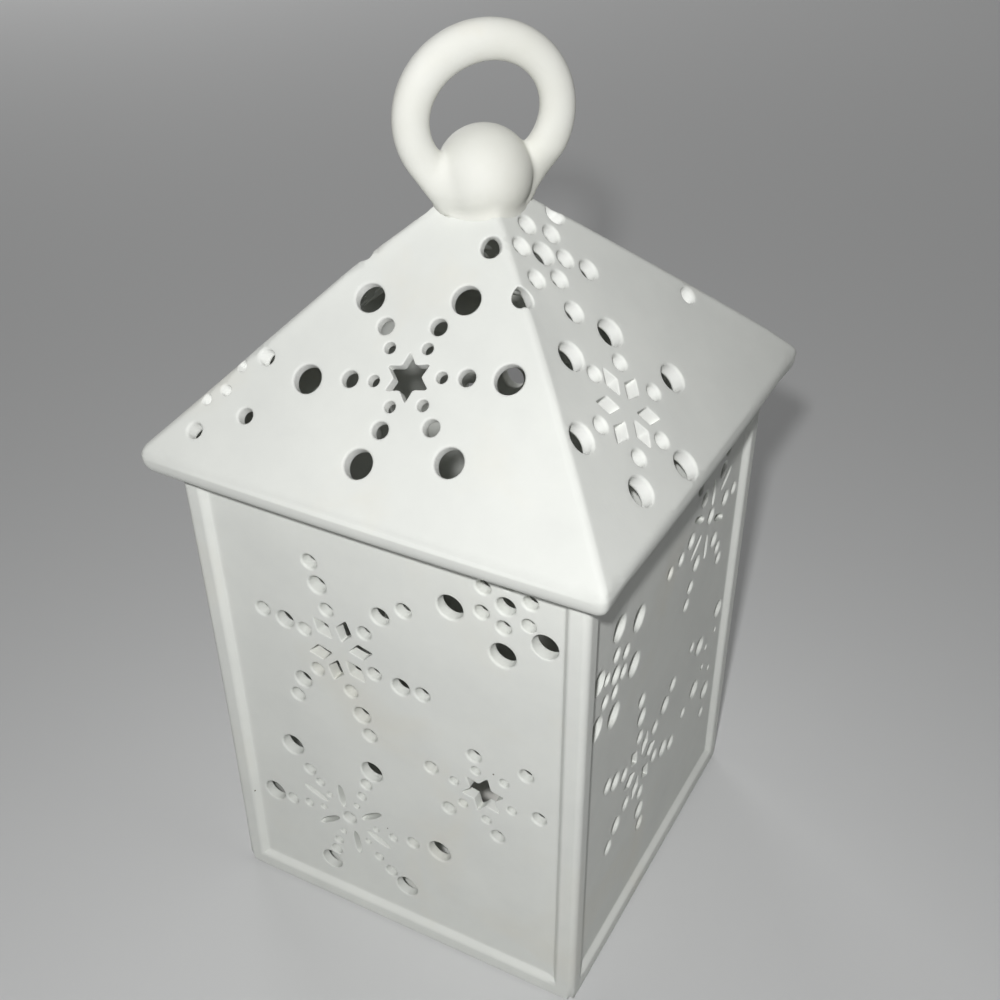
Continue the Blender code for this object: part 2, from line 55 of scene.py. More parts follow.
def addCamera(look):
    data = bpy.data.cameras.new("camera")
    data.lens = look["lens"]
    data.sensor_width = look["sensor"]
    data.clip_start = look["near"]
    obj = bpy.data.objects.new("camera", data)
    turn = Matrix((look["right"], look["up"], look["back"])).transposed()
    obj.matrix_world = Matrix.Translation(look["place"]) @ turn.to_4x4()
    scene.collection.objects.link(obj)
    scene.camera = obj


addCamera(cameraLook)


# materials

def nodeMaterial(name):
    mat = bpy.data.materials.new(name)
    mat.use_nodes = True
    tree = mat.node_tree
    return mat, tree, tree.nodes["Principled BSDF"]


def feed(tree, socket, value):
    # a plain value goes on the socket itself, an output is linked to it
    if isinstance(value, (tuple, float, int)):
        socket.default_value = value
    else:
        tree.links.new(value, socket)


def addNode(tree, kind, inputs=None, **settings):
    node = tree.nodes.new(kind)
    for key, value in settings.items():
        setattr(node, key, value)
    for key, value in (inputs or {}).items():
        feed(tree, node.inputs[key], value)
    return node


def noise(tree, scale, detail, **more):
    # a noise on the piece's own coordinates
    place = addNode(tree, "ShaderNodeTexCoord").outputs["Object"]
    inputs = {"Vector": place, "Scale": scale, "Detail": detail, **more}
    return addNode(tree, "ShaderNodeTexNoise", inputs).outputs["Fac"]


def mixColour(tree, factor, first, second):
    return addNode(tree, "ShaderNodeMix", {0: factor, 6: first, 7: second}, data_type="RGBA").outputs[2]


def maths(tree, operation, *values):
    return addNode(tree, "ShaderNodeMath", dict(enumerate(values)), operation=operation).outputs[0]


def ramp(tree, source, low, high, start=0.0, end=1.0):
    inputs = {"Value": source, "From Min": low, "From Max": high, "To Min": start, "To Max": end}
    return addNode(tree, "ShaderNodeMapRange", inputs).outputs["Result"]


def bump(tree, height, strength, distance):
    inputs = {"Height": height, "Strength": strength, "Distance": distance}
    return addNode(tree, "ShaderNodeBump", inputs).outputs["Normal"]


bisqueLook = {
    "clay": (0.805, 0.820, 0.780, 1),
    "shade": (0.755, 0.770, 0.735, 1),
    "stain": (0.78, 0.73, 0.60, 1),
    "cut": (0.90, 0.91, 0.88, 1),          # painted light: the walls of the roof's holes are painted lighter, standing in for the light they catch
    "speck": (0.16, 0.14, 0.12, 1),
    # noises, and the range of each that shows
    "cloud": {"scale": 42.0, "detail": 4.0, "Roughness": 0.6}, "cloudRange": (0.35, 0.72),
    "patch": {"scale": 24.0, "detail": 3.0, "Roughness": 0.55, "Distortion": 0.6}, "patchRange": (0.56, 0.78),
    "grain": {"scale": 1500.0, "detail": 3.0, "Roughness": 0.6}, "grainShare": 0.35,
    "sponge": {"scale": 190.0, "detail": 3.0, "Roughness": 0.5}, "spongeRange": (0.3, 0.7),
    "stainAmount": 0.32, "speckCells": 62.0, "speckSize": 0.016, "speckRare": 0.72,
    "roughness": (0.62, 0.82), "shine": 0.32,
    "bump": (0.12, 0.0004),                # strength and height
}
finialLook = dict(bisqueLook, clay=(0.815, 0.820, 0.770, 1), shade=(0.770, 0.770, 0.705, 1),
                  stainAmount=0.75)


def bisque(name, look):
    mat, tree, shader = nodeMaterial(name)
    cloud, patch, grain, sponge = (noise(tree, **look[key]) for key in ("cloud", "patch", "grain", "sponge"))
    place = addNode(tree, "ShaderNodeTexCoord").outputs["Object"]
    dots = addNode(tree, "ShaderNodeTexVoronoi", {"Vector": place, "Scale": look["speckCells"]}).outputs

    colour = mixColour(tree, ramp(tree, cloud, *look["cloudRange"]), look["clay"], look["shade"])
    yellow = ramp(tree, patch, *look["patchRange"], 0.0, look["stainAmount"])
    colour = mixColour(tree, yellow, colour, look["stain"])
    # only some cells hold a speck, chosen by the cell's own colour
    chosen = addNode(tree, "ShaderNodeSeparateColor", {"Color": dots["Color"]}).outputs[0]
    speck = maths(tree, "MULTIPLY", maths(tree, "LESS_THAN", dots["Distance"], look["speckSize"]),
                  maths(tree, "GREATER_THAN", chosen, look["speckRare"]))
    colour = mixColour(tree, speck, colour, look["speck"])
    # painted light: the roof's hole walls take a lighter colour, standing in for the light they catch
    cut = addNode(tree, "ShaderNodeAttribute", attribute_name="cut").outputs["Fac"]
    feed(tree, shader.inputs["Base Color"], mixColour(tree, cut, colour, look["cut"]))

    feed(tree, shader.inputs["Roughness"], ramp(tree, sponge, *look["spongeRange"], *look["roughness"]))
    height = maths(tree, "MULTIPLY_ADD", grain, look["grainShare"], sponge)
    feed(tree, shader.inputs["Normal"], bump(tree, height, *look["bump"]))
    shader.inputs["Specular IOR Level"].default_value = look["shine"]
    return mat


bodyBisque = bisque("bodyBisque", bisqueLook)
finialBisque = bisque("finialBisque", finialLook)
print("materials ready")


# meshes

sharpAngle = math.radians(50)
rimTurns = np.radians((30, 60, 90))   # steps round an eased edge


def plainMesh(obj):
    # a piece's mesh with its modifiers worked in
    graph = bpy.context.evaluated_depsgraph_get()
    return bpy.data.meshes.new_from_object(obj.evaluated_get(graph))


def meshPiece(name, points, faces, material, cut=None):
    mesh = bpy.data.meshes.new(name)
    mesh.from_pydata((np.asarray(points, float) * mm).tolist(), [], [list(map(int, face)) for face in faces])
    # an optional weight per point: the painted light on the roof's hole walls
    if cut is not None:
        mesh.attributes.new("cut", "FLOAT", "POINT").data.foreach_set("value", np.asarray(cut, np.float32))
    work = bmesh.new()
    work.from_mesh(mesh)
    loose = [v for v in work.verts if not v.link_faces]
    bmesh.ops.delete(work, geom=loose, context="VERTS")
    bmesh.ops.recalc_face_normals(work, faces=work.faces)
    work.to_mesh(mesh)
    work.free()
    mesh.polygons.foreach_set("use_smooth", [True] * len(mesh.polygons))
    mesh.set_sharp_from_angle(angle=sharpAngle)
    mesh.materials.append(material)
    obj = bpy.data.objects.new(name, mesh)
    scene.collection.objects.link(obj)
    # normals weighted by area, so that broad faces stay flat up to their rounded edges
    weigh = obj.modifiers.new("weigh", "WEIGHTED_NORMAL")
    weigh.mode = "FACE_AREA"
    weigh.keep_sharp = True
    obj.data = plainMesh(obj)
    obj.modifiers.clear()
    obj.data.name = name
    return obj


def dress(obj, body, slot, *nodes):
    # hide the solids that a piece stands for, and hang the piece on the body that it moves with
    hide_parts(*nodes)
    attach(obj, body)


def quarterTurn(points, index):
    points = np.array(points, float)
    for _ in range(index % 4):
        points = np.stack([-points[:, 1], points[:, 0], points[:, 2]], axis=1)
    return points


def bridge(upper, lower):
    # faces between two closed rings of points
    n = len(upper)
    return [(upper[i], upper[(i + 1) % n], lower[(i + 1) % n], lower[i]) for i in range(n)]


def gridFaces(rows, columns, closed=False, start=0):
    lines = start + np.arange(rows * columns).reshape(rows, columns)
    faces = []
    for a, b in zip(lines, lines[1:]):
        faces += bridge(a, b) if closed else bridge(a, b)[:-1]
    return faces


def tubeFaces(rows, columns):
    # closed rings one after the other, with a face over each end
    ends = np.arange(rows * columns).reshape(rows, columns)[[0, -1]]
    return gridFaces(rows, columns, closed=True) + [tuple(end) for end in ends]


def walkLoops(edges):
    # closed loops from unordered pairs of neighbours
    after = {}
    for a, b in edges:
        after.setdefault(a, []).append(b)
        after.setdefault(b, []).append(a)
    loops, seen = [], set()
    for first in after:
        loop, here = [], first if first not in seen else None
        while here is not None:
            seen.add(here)
            loop.append(here)
            here = next((n for n in after[here] if n not in seen), None)
        if loop:
            loops.append(loop)
    return loops


def turnArea(loop):
    # positive where an outline runs anticlockwise
    return np.sum(loop[:, 0] * np.roll(loop[:, 1], -1) - np.roll(loop[:, 0], -1) * loop[:, 1])


def roundCorner(across, half, radius):
    # half of a rounded corner in plan: where a point of a straight side of this length comes to lie
    over = np.clip((np.abs(across) - (half - radius)) / radius, 0, 1) * math.pi / 4
    x = np.where(over > 0, np.sign(across) * (half - radius + radius * np.sin(over)), across)
    y = np.where(over > 0, half - radius + radius * np.cos(over), half)
    return x, y


def softStep(share):
    share = np.clip(share, 0, 1)
    return share * share * (3 - 2 * share)


# snowflake openings: one node tree draws every flake as a set of outlines

flakes = {
    "star": {"star": (6.2, 3.4), "rows": ((8.5, 2.9), (14.3, 4.2), (23.8, 7.2))},
    "smallStar": {"star": (6.7, 3.6), "rows": ((8.7, 2.7), (15.4, 4.0))},
    "diamond": {"lens": (7.3, 7.8, 4.9, 4), "rows": ((12.1, 4.0), (19.7, 5.2), (26.6, 4.3))},
    "roofDiamond": {"lens": (7.2, 7.6, 4.8, 4), "rows": ((12.1, 4.2), (20.7, 7.4))},
    "round": {"centre": 5.0, "rows": ((7.0, 3.9), (15.3, 7.0))},
    "apex": {"centre": 6.0, "rows": ((7.7, 4.8), (15.6, 5.4))},
    "backApex": {"centre": 6.0, "rows": ((7.7, 4.8), (15.6, 4.5))},
    "side": {"centre": 5.6, "rows": ((6.9, 4.4), (13.8, 5.2))},
    "hip": {"rows": ((6.5, 2.6), (14.4, 3.9))},
    "petal": {"centre": 4.2, "lens": (9.6, 8.6, 2.0, 20),
              "rows": ((8.3, 1.9), (13.6, 2.7), (19.7, 3.7), (26.4, 6.8))},
    "longPetal": {"centre": 4.6, "lens": (9.4, 8.4, 2.2, 20), "rows": ((12.7, 4.4), (19.2, 3.7), (25.2, 3.6))},
    "edge": {"rows": ((7.0, 1.8), (15.5, 5.6), (24.0, 3.2))},
}
# on the walls: flake, across, height, turn; opposite walls match
wallFlakes = {
    "frontBack": (("diamond", -13.6, 98.4, 46), ("round", 35.0, 132.4, 25),
                  ("petal", -16.5, 35.4, 7), ("smallStar", 27.2, 66.4, 47)),
    "sides": (("round", -33.1, 103.2, 32), ("diamond", -10.3, 51.5, 33),
              ("longPetal", 26.0, 112.3, 1), ("edge", 43.5, 53.0, 20)),
}
# on the roof: face, flake, across, distance down the slope, turn
roofFlakes = (
    (0, "star", 1.0, 52.9, -15), (0, "hip", -49.6, 64.6, 30),
    (1, "apex", -3.6, 24.1, 41), (1, "roofDiamond", -15.6, 63.5, 13),
    (2, "backApex", -28.3, 60.4, 36), (2, "roofDiamond", 19.0, 61.0, 30), (2, "side", 0.0, 28.0, 0),
    (3, "side", 4.4, 33.0, -17), (3, "roofDiamond", -17.0, 67.5, 13),
)
# where the holes were really pierced by hand: centres on each face, in mm
piercedCentres = {
    "frontBack": (
        (-19, 104.6), (-12.5, 105.8), (-7.8, 100.7), (-10, 93.4), (-16.3, 91.4), (-20.6, 95.9),
        (-17.3, 111.1), (-6.2, 107.7), (-4.2, 94.8), (-12.2, 85.5), (-22.4, 89.2), (-25.1, 101.9),
        (-19.2, 118.5), (-0.9, 115.1), (3.7, 93.7), (-9.4, 78.1), (-27.6, 83.5), (-31.1, 102.9),
        (-20.8, 125.3), (6.2, 119.7), (10.1, 93.8), (-8.7, 70.3), (-30.1, 77.1), (-38, 104), (28.1, 127.8),
        (33.9, 125.3), (40.5, 128.5), (40.9, 135.3), (28.7, 135.4), (19.5, 125.9), (33.5, 116.6),
        (45.9, 123.8), (-27.8, 40.3), (-19, 43.1), (-24, 31.2), (-9.3, 39.6), (-14.9, 26.4), (-7.2, 31.3),
        (-29.3, 48.9), (-36.7, 33.7), (-10.9, 50.8), (-2.2, 34.7), (4.2, 35.9), (-7.7, 24), (-3.7, 20.2),
        (-34.3, 56.2), (-43, 34), (-7.9, 57.7), (-24.6, 14.1), (1.3, 16.4), (12.8, 37.1), (25, 74.1),
        (33.3, 73.7), (35.5, 64.8), (27.9, 57.5), (20.9, 60.2), (18.4, 67.2), (24.7, 79.2), (39.7, 79.4),
        (43.4, 65.9), (31.2, 52.9), (16.5, 56), (11.5, 68.7)
    ),
    "sides": (
        (-33.5, 117.9), (-20.6, 111.6), (-21.5, 97.2), (-33.4, 89.5), (-44.5, 109), (-45.1, 93.9),
        (-27.8, 106.3), (-34.2, 109.9), (-28.8, 100.5), (-39.6, 106.4), (-33.8, 97.6), (-39.9, 99.2),
        (-13.2, 77.7), (-12.2, 71), (-12.4, 63.7), (11.1, 64.3), (6, 60.5), (-0.8, 57.6), (-22.3, 58.1),
        (-28.7, 61.6), (-34.1, 64.8), (-19.8, 44.9), (-26.2, 42.3), (-31, 38.2), (-8.8, 32), (-7.8, 25.6),
        (-0.5, 112.1), (7.1, 111.6), (13.9, 113.2), (20.2, 101.6), (33.2, 101.4), (37, 96.2), (39.1, 91.2),
        (17.2, 95.3), (15.4, 90.2), (28.3, 120.3), (39, 112.3), (45.5, 111.8), (50.6, 111.2),
        (37.7, 119.8), (26.9, 76.5), (31.9, 68.7), (45.5, 57.4), (36, 51.8), (30.6, 46.8), (40.9, 38.5),
        (24, 39.9), (39.5, 30.3)
    ),
    "roofFront": (
        (8.7, 51), (2.7, 45.3), (-6.7, 47.3), (-7.6, 55.8), (-1.3, 60.7), (6.6, 58.4), (14.7, 49.6),
        (3.4, 39.7), (-9.8, 42.5), (-13.8, 56.8), (-1.6, 66.5), (10.5, 62.8), (24.6, 47.6), (7.6, 32),
        (-16.3, 36.8), (-24.6, 59.5), (-3.9, 75.4), (17.7, 69.3), (-37, 57.1), (-42.7, 60.9),
        (-44.7, 67.5), (-49.1, 71), (-37.2, 72.1), (-49.3, 79), (8.9, 18.4)
    ),
    "roofRight": (
        (-0.6, 16.4), (4.7, 21.6), (2.7, 28.2), (-4.4, 31), (-11.5, 27.6), (-7.9, 19.5), (11.3, 18.4),
        (7.4, 33.8), (-8.1, 39), (-20.2, 28.9), (-13.9, 56.7), (-9.5, 61.4), (-10.9, 68.7), (-17.2, 70.4),
        (-23.2, 66.4), (-20.6, 59.8), (-17.2, 52.6), (-6.6, 55), (-3.3, 65.8), (-12.8, 75), (-23.8, 73.4),
        (-27.5, 61.7), (-19.9, 45.9), (-1.9, 48.3), (6.7, 66.9), (-11.4, 83.2), (-30.8, 78.8),
        (-36.1, 60.4), (34.7, 55.5)
    ),
}
# how far a hole may move, and how much more for its size; how far its neighbours count
settleReach = {"least": 1.6, "bySize": 0.42, "near": 7.0}
openingLook = {
    "lip": 0.6, "sharpLip": 0.3, "lipShare": 0.16, "leastLip": 0.05, "gapShare": 0.45, "gapLeft": 0.03,
    "step": 0.5, "points": (14, 52), "sharpPoints": 36,
    "soften": 0.22, "dense": 400, "softenReach": 60,
    "circlePoints": 40, "sharpBelow": 30,       # an outline of fewer points has corners
    "clear": 0.75,                              # free of the sheet's other points
}
cutRings = (0.1, 0.5, 1, 1, 1, 0.5, 0.1)     # how much painted light each ring of a hole's wall gets, standing in for the light it catches


def flakeTree():
    tree = bpy.data.node_groups.new("snowflakeOpenings", "GeometryNodeTree")
    face = tree.interface
    floats = ["Centre Size", "Star Tip", "Star Dent", "Lens Distance", "Lens Length", "Lens Width"]
    floats += [f"Row {i} {what}" for i in range(1, 5) for what in ("Distance", "Size")]
    floats += ["Turn", "Across", "Up"]
    sockets = {"Geometry": ["Geometry"], "Float": floats, "Int": ["Arms", "Circle Points", "Lens Points"],
               "Material": ["Material"]}
    for kind, names in sockets.items():
        for name in names:
            face.new_socket(name, in_out="INPUT", socket_type="NodeSocket" + kind)
    face.new_socket("Geometry", in_out="OUTPUT", socket_type="NodeSocketGeometry")
    given = tree.nodes.new("NodeGroupInput").outputs

    def wire(kind, inputs=None, **settings):
        return addNode(tree, kind, inputs, **settings).outputs[0]

    def product(first, second):
        return maths(tree, "MULTIPLY", first, second)

    def circle(points, radius):
        return wire("GeometryNodeMeshCircle", {"Vertices": points, "Radius": radius})

    def shownIf(size, geometry):
        return wire("GeometryNodeSwitch", {"Switch": maths(tree, "GREATER_THAN", size, 0.0), "True": geometry},
                    input_type="GEOMETRY")

    def aboutZ(angle):
        return wire("ShaderNodeCombineXYZ", {"Z": angle})

    arms = given["Arms"]
    parts = [shownIf(given["Centre Size"], circle(given["Circle Points"], product(given["Centre Size"], 0.5)))]
    # the star: every second point of a circle pulled in
    index = wire("GeometryNodeInputIndex")
    odd = maths(tree, "MODULO", index, 2)
    reach = maths(tree, "ADD", product(odd, given["Star Tip"]),
                  product(maths(tree, "SUBTRACT", 1.0, odd), given["Star Dent"]))
    pulled = wire("ShaderNodeVectorMath", {0: wire("GeometryNodeInputPosition"), "Scale": reach}, operation="SCALE")
    star = wire("GeometryNodeSetPosition", {"Geometry": circle(product(arms, 2.0), 1.0), "Position": pulled})
    parts.append(shownIf(given["Star Tip"], star))
    # the arms: circles on circles
    for i in range(1, 5):
        far, size = given[f"Row {i} Distance"], given[f"Row {i} Size"]
        row = wire("GeometryNodeInstanceOnPoints",
                   {"Points": circle(arms, far), "Instance": circle(given["Circle Points"], product(size, 0.5))})
        parts.append(shownIf(size, row))
    # the lenses between the arms, each turned to point at the centre
    half = maths(tree, "DIVIDE", math.pi, arms)
    spin = wire("FunctionNodeEulerToRotation", {"Euler": aboutZ(product(index, product(half, 2.0)))})
    size = wire("ShaderNodeCombineXYZ", {"X": product(given["Lens Length"], 0.5),
                                         "Y": product(given["Lens Width"], 0.5), "Z": 1.0})
    lens = wire("GeometryNodeTransform", {"Geometry": circle(given["Lens Points"], 1.0), "Scale": size})
    lenses = wire("GeometryNodeInstanceOnPoints",
                  {"Points": circle(arms, given["Lens Distance"]), "Instance": lens, "Rotation": spin})
    lenses = wire("GeometryNodeTransform", {"Geometry": lenses, "Rotation": aboutZ(half)})
    parts.append(shownIf(given["Lens Length"], lenses))

    join = addNode(tree, "GeometryNodeJoinGeometry")
    for part in parts:
        tree.links.new(part, join.inputs[0])
    moved = wire("ShaderNodeCombineXYZ", {"X": given["Across"], "Y": given["Up"]})
    placed = wire("GeometryNodeTransform", {"Geometry": join.outputs[0], "Rotation": aboutZ(given["Turn"]),
                                            "Translation": moved})
    solid = wire("GeometryNodeRealizeInstances", {"Geometry": placed})
    clay = wire("GeometryNodeSetMaterial", {"Geometry": solid, "Material": given["Material"]})
    tree.links.new(clay, tree.nodes.new("NodeGroupOutput").inputs[0])
    return tree


flakeNodes = flakeTree()


def drawFlake(name, across, up, turn):
    flake = flakes[name]
    lens = flake.get("lens", (0, 0, 0, 4))
    star = flake.get("star", (0, 0))
    values = {"Centre Size": flake.get("centre", 0), "Star Tip": star[0], "Star Dent": star[1],
              "Lens Distance": lens[0], "Lens Length": lens[1], "Lens Width": lens[2], "Lens Points": lens[3],
              "Turn": math.radians(turn), "Across": across, "Up": up, "Arms": 6,
              "Circle Points": openingLook["circlePoints"], "Material": bodyBisque}
    for i, (distance, size) in enumerate(flake["rows"], 1):
        values[f"Row {i} Distance"] = distance
        values[f"Row {i} Size"] = size
    obj = bpy.data.objects.new("flake", bpy.data.meshes.new("flake"))
    scene.collection.objects.link(obj)
    nodes = obj.modifiers.new("snowflake", "NODES")
    nodes.node_group = flakeNodes
    for item in flakeNodes.interface.items_tree:
        if item.in_out == "INPUT" and item.name in values:
            value = values[item.name]
            nodes[item.identifier] = float(value) if item.socket_type == "NodeSocketFloat" else value
    mesh = plainMesh(obj)
    points = np.array([v.co[:2] for v in mesh.vertices])
    loops = [points[loop] for loop in walkLoops(e.vertices for e in mesh.edges) if len(loop) > 2]
    bpy.data.objects.remove(obj)
    bpy.data.meshes.remove(mesh)
    return loops


def softOutline(loop, look=openingLook):
    # even points round an outline, with its corners a little worn, running anticlockwise
    def walk(points, count):
        closed = np.vstack([points, points[:1]])
        lengths = np.r_[0, np.cumsum(np.linalg.norm(np.diff(closed, axis=0), axis=1))]
        at = np.linspace(0, lengths[-1], count, endpoint=False)
        return np.stack([np.interp(at, lengths, closed[:, i]) for i in (0, 1)], axis=1), lengths[-1]

    if turnArea(loop) < 0:
        loop = loop[::-1]
    sharp = len(loop) < look["sharpBelow"]
    dense, length = walk(loop, look["dense"])
    count = int(np.clip(round(length / look["step"]), *look["points"]))
    if sharp:
        sigma = look["soften"] / (length / look["dense"])
        reach = np.arange(-look["softenReach"], look["softenReach"] + 1)
        weight = np.exp(-0.5 * (reach / sigma) ** 2)
        weight /= weight.sum()
        dense = sum(w * np.roll(dense, -k, axis=0) for k, w in zip(reach, weight))
        count = max(count, look["sharpPoints"])
    even, _ = walk(dense, count)
    along = np.roll(even, -1, axis=0) - np.roll(even, 1, axis=0)
    outward = np.stack([along[:, 1], -along[:, 0]], axis=1)
    outward /= np.linalg.norm(outward, axis=1, keepdims=True)
    lip = look["sharpLip"] if sharp else min(look["lip"], look["lipShare"] * length / math.pi)
    return {"edge": even, "outward": outward, "lip": lip}


def settle(loops, centres):
    # move the regular holes onto the holes that were really pierced, the largest first;
    # a hole that has no partner follows its neighbours
    free = np.array(centres, float)
    middles = np.array([loop.mean(axis=0) for loop in loops])
    sizes = np.array([np.ptp(loop, axis=0).max() for loop in loops])
    moves, paired = np.zeros_like(middles), np.zeros(len(loops), bool)
    for i in np.argsort(-sizes):
        gap = np.linalg.norm(free - middles[i], axis=1)
        near = gap.argmin()
        if gap[near] < settleReach["least"] + settleReach["bySize"] * sizes[i]:
            moves[i] = free[near] - middles[i]
            paired[i] = True
            free[near] = 1e6
    for i in np.where(~paired)[0]:
        gap = np.linalg.norm(middles[paired] - middles[i], axis=1)
        weight = np.exp(-(gap / settleReach["near"]) ** 2)
        moves[i] = (weight[:, None] * moves[paired]).sum(axis=0) / (weight.sum() + 0.05)
    return [loop + move for loop, move in zip(loops, moves)]


def insideLoop(points, loop):
    # even-odd test of many points against one outline
    inside = np.zeros(len(points), bool)
    box = np.where((points >= loop.min(axis=0)).all(axis=1) & (points <= loop.max(axis=0)).all(axis=1))[0]
    x, y = points[box].T
    hits = np.zeros(len(box), bool)
    for (ax, ay), (bx, by) in zip(loop, np.roll(loop, -1, axis=0)):
        crosses = (ay > y) != (by > y)
        with np.errstate(divide="ignore", invalid="ignore"):
            at = ax + (y - ay) * (bx - ax) / (by - ay)
        hits ^= crosses & (x < at)
    inside[box] = hits
    return inside


def distanceTo(points, targets, batch=400):
    best = np.full(len(points), 1e9)
    for start in range(0, len(targets), batch):
        part = targets[start:start + batch]
        best = np.minimum(best, np.linalg.norm(points[:, None] - part[None], axis=2).min(axis=1))
    return best


def fitLips(openings, border):
    # a lip that would run into its neighbour's is made smaller
    for one in openings:
        others = np.vstack([border] + [o["edge"] for o in openings if o is not one])
        gap = distanceTo(one["edge"], others).min()
        room = openingLook["gapShare"] * gap - openingLook["gapLeft"]
        one["lip"] = min(one["lip"], max(room, openingLook["leastLip"]))


def piercedSheet(border, inner, openings, thickness):
    # a flat sheet with its openings: border is an outline, inner are points spread over it.
    # returns (across, up, depth) points and faces, with the front border first and the back border second
    fitLips(openings, border)
    loops = [o["edge"] + o["outward"] * o["lip"] for o in openings]
    fixed = np.vstack([border] + loops)
    inner = inner[distanceTo(inner, fixed) > openingLook["clear"]]
    for loop in loops:
        inner = inner[~insideLoop(inner, loop)]
    flat = np.vstack([fixed, inner])
    edges, starts, start = [], [], 0
    for ring in [border] + loops:
        n = len(ring)
        edges += [(start + i, start + (i + 1) % n) for i in range(n)]
        starts.append(start)
        start += n
    found = delaunay_2d_cdt([Vector(p) for p in flat.tolist()], edges, [], 1, 1e-7)
    if len(found[0]) != len(flat):
        print("sheet has crossing outlines", len(found[0]) - len(flat))
    flat = np.array([v[:] for v in found[0]])
    triangles = np.array(found[2], int)
    middles = flat[triangles].mean(axis=1)
    drop = np.zeros(len(triangles), bool)
    for loop in loops:
        drop |= insideLoop(middles, loop)
    triangles = triangles[~drop]

    count = len(flat)
    points = [np.c_[flat, np.zeros(count)], np.c_[flat, np.full(count, thickness)]]
    faces = [tuple(t) for t in triangles] + [tuple(count + t[::-1]) for t in triangles]
    total = 2 * count
    for opening, first in zip(openings, starts[1:]):
        n = len(opening["edge"])
        lip = opening["lip"]
        depths = [(lip * (1 - math.sin(a)), lip * (1 - math.cos(a))) for a in rimTurns]
        depths += [(0.0, thickness * 0.5)] + [(away, thickness - deep) for away, deep in depths[::-1]]
        rings = [first + np.arange(n)]
        for away, deep in depths:
            points.append(np.c_[opening["edge"] + opening["outward"] * away, np.full(n, deep)])
            rings.append(total + np.arange(n))
            total += n
        rings.append(count + first + np.arange(n))
        for upper, lower in zip(rings, rings[1:]):
            faces += bridge(upper, lower)
    return np.vstack(points), faces, count, len(border)


def spread(low, high, step):
    # points in a hexagonal grid
    rows, v = [], low[1]
    while v <= high[1]:
        u = np.arange(low[0] + len(rows) % 2 * step / 2, high[0], step)
        rows.append(np.c_[u, np.full(len(u), v)])
        v += step * 0.866
    return np.vstack(rows)


# body: four pierced panels behind one frame of posts and rails

bodyShape = {
    "baseHalf": 55.0, "topHalf": 56.6, "height": 143.0,
    "recess": 1.8, "panel": 3.4,
    # the walls thicken a little towards the rim, and here and there: across, up, more, reach
    "thickAt": (0, 15, 40, 58, 95, 143), "thick": (2.9, 3.0, 3.3, 3.5, 3.5, 3.6),
    "spots": ((-13.6, 98.4, -0.75, 7.5), (-19.2, 118.5, 0.9, 4.5), (-9.4, 78.1, 0.45, 4.5),
              (33.0, 127.0, 0.2, 10.0), (-32.0, 95.0, 0.15, 14.0), (-34.3, 56.2, 0.2, 6.0),
              (30.0, 66.0, -0.3, 14.0)),
    "postFlat": 5.2, "postBevel": 1.5, "railFlat": 4.7, "railBevel": 1.4,
    "ease": 0.7, "easeDeep": 0.125,      # soft run of the bevel into the panel
    "corner": 1.9, "foot": 1.3, "rim": 0.5,
    "floor": 4.0, "seat": 50.55,
    "bow": 0.7,             # how far the walls draw in at mid height
    "leftBow": 0.7,
    # how far a hole may be moved off a post, and what it keeps free of post, rail and rim
    "shift": 1.6, "holeClear": (0.2, 0.5, 1.2),
    # step of the sheet's points, and what they keep free of post, rail and rim
    "grid": 2.9, "gridClear": (1.0, 1.8, 1.2),
}
postWide = bodyShape["postFlat"] + bodyShape["postBevel"] + bodyShape["ease"]
railWide = bodyShape["railFlat"] + bodyShape["railBevel"] + bodyShape["ease"]
rimLow = bodyShape["height"] - bodyShape["rim"]
railShares = np.linspace(-1, 1, 41)
postShares = np.linspace(1, 0, 49)
sideNames = ("front", "right", "back", "left")
cornerNames = ("front_right", "back_right", "back_left", "front_left")


def bodyHalf(z):
    return bodyShape["baseHalf"] + (bodyShape["topHalf"] - bodyShape["baseHalf"]) * z / bodyShape["height"]


def panelThick(z, u=0.0):
    thick = np.interp(z, bodyShape["thickAt"], bodyShape["thick"])
    for across, up, more, reach in bodyShape["spots"]:
        thick = thick + more * np.exp(-0.5 * (np.hypot(u - across, z - up) / reach) ** 4)
    return thick


def bowed(points):
    # the drying clay drew the walls in a little between foot and rim
    share = np.sin(np.pi * np.clip(points[:, 2] / bodyShape["height"], 0, 1))
    half = bodyHalf(points[:, 2])
    out = points.copy()
    for axis in (0, 1):
        middle = 1 - (points[:, 1 - axis] / half) ** 2
        out[:, axis] -= bodyShape["bow"] * share * points[:, axis] / half * middle
    left = np.clip(-points[:, 0] / half, 0, 1)
    out[:, 0] += bodyShape["leftBow"] * share * left
    return out


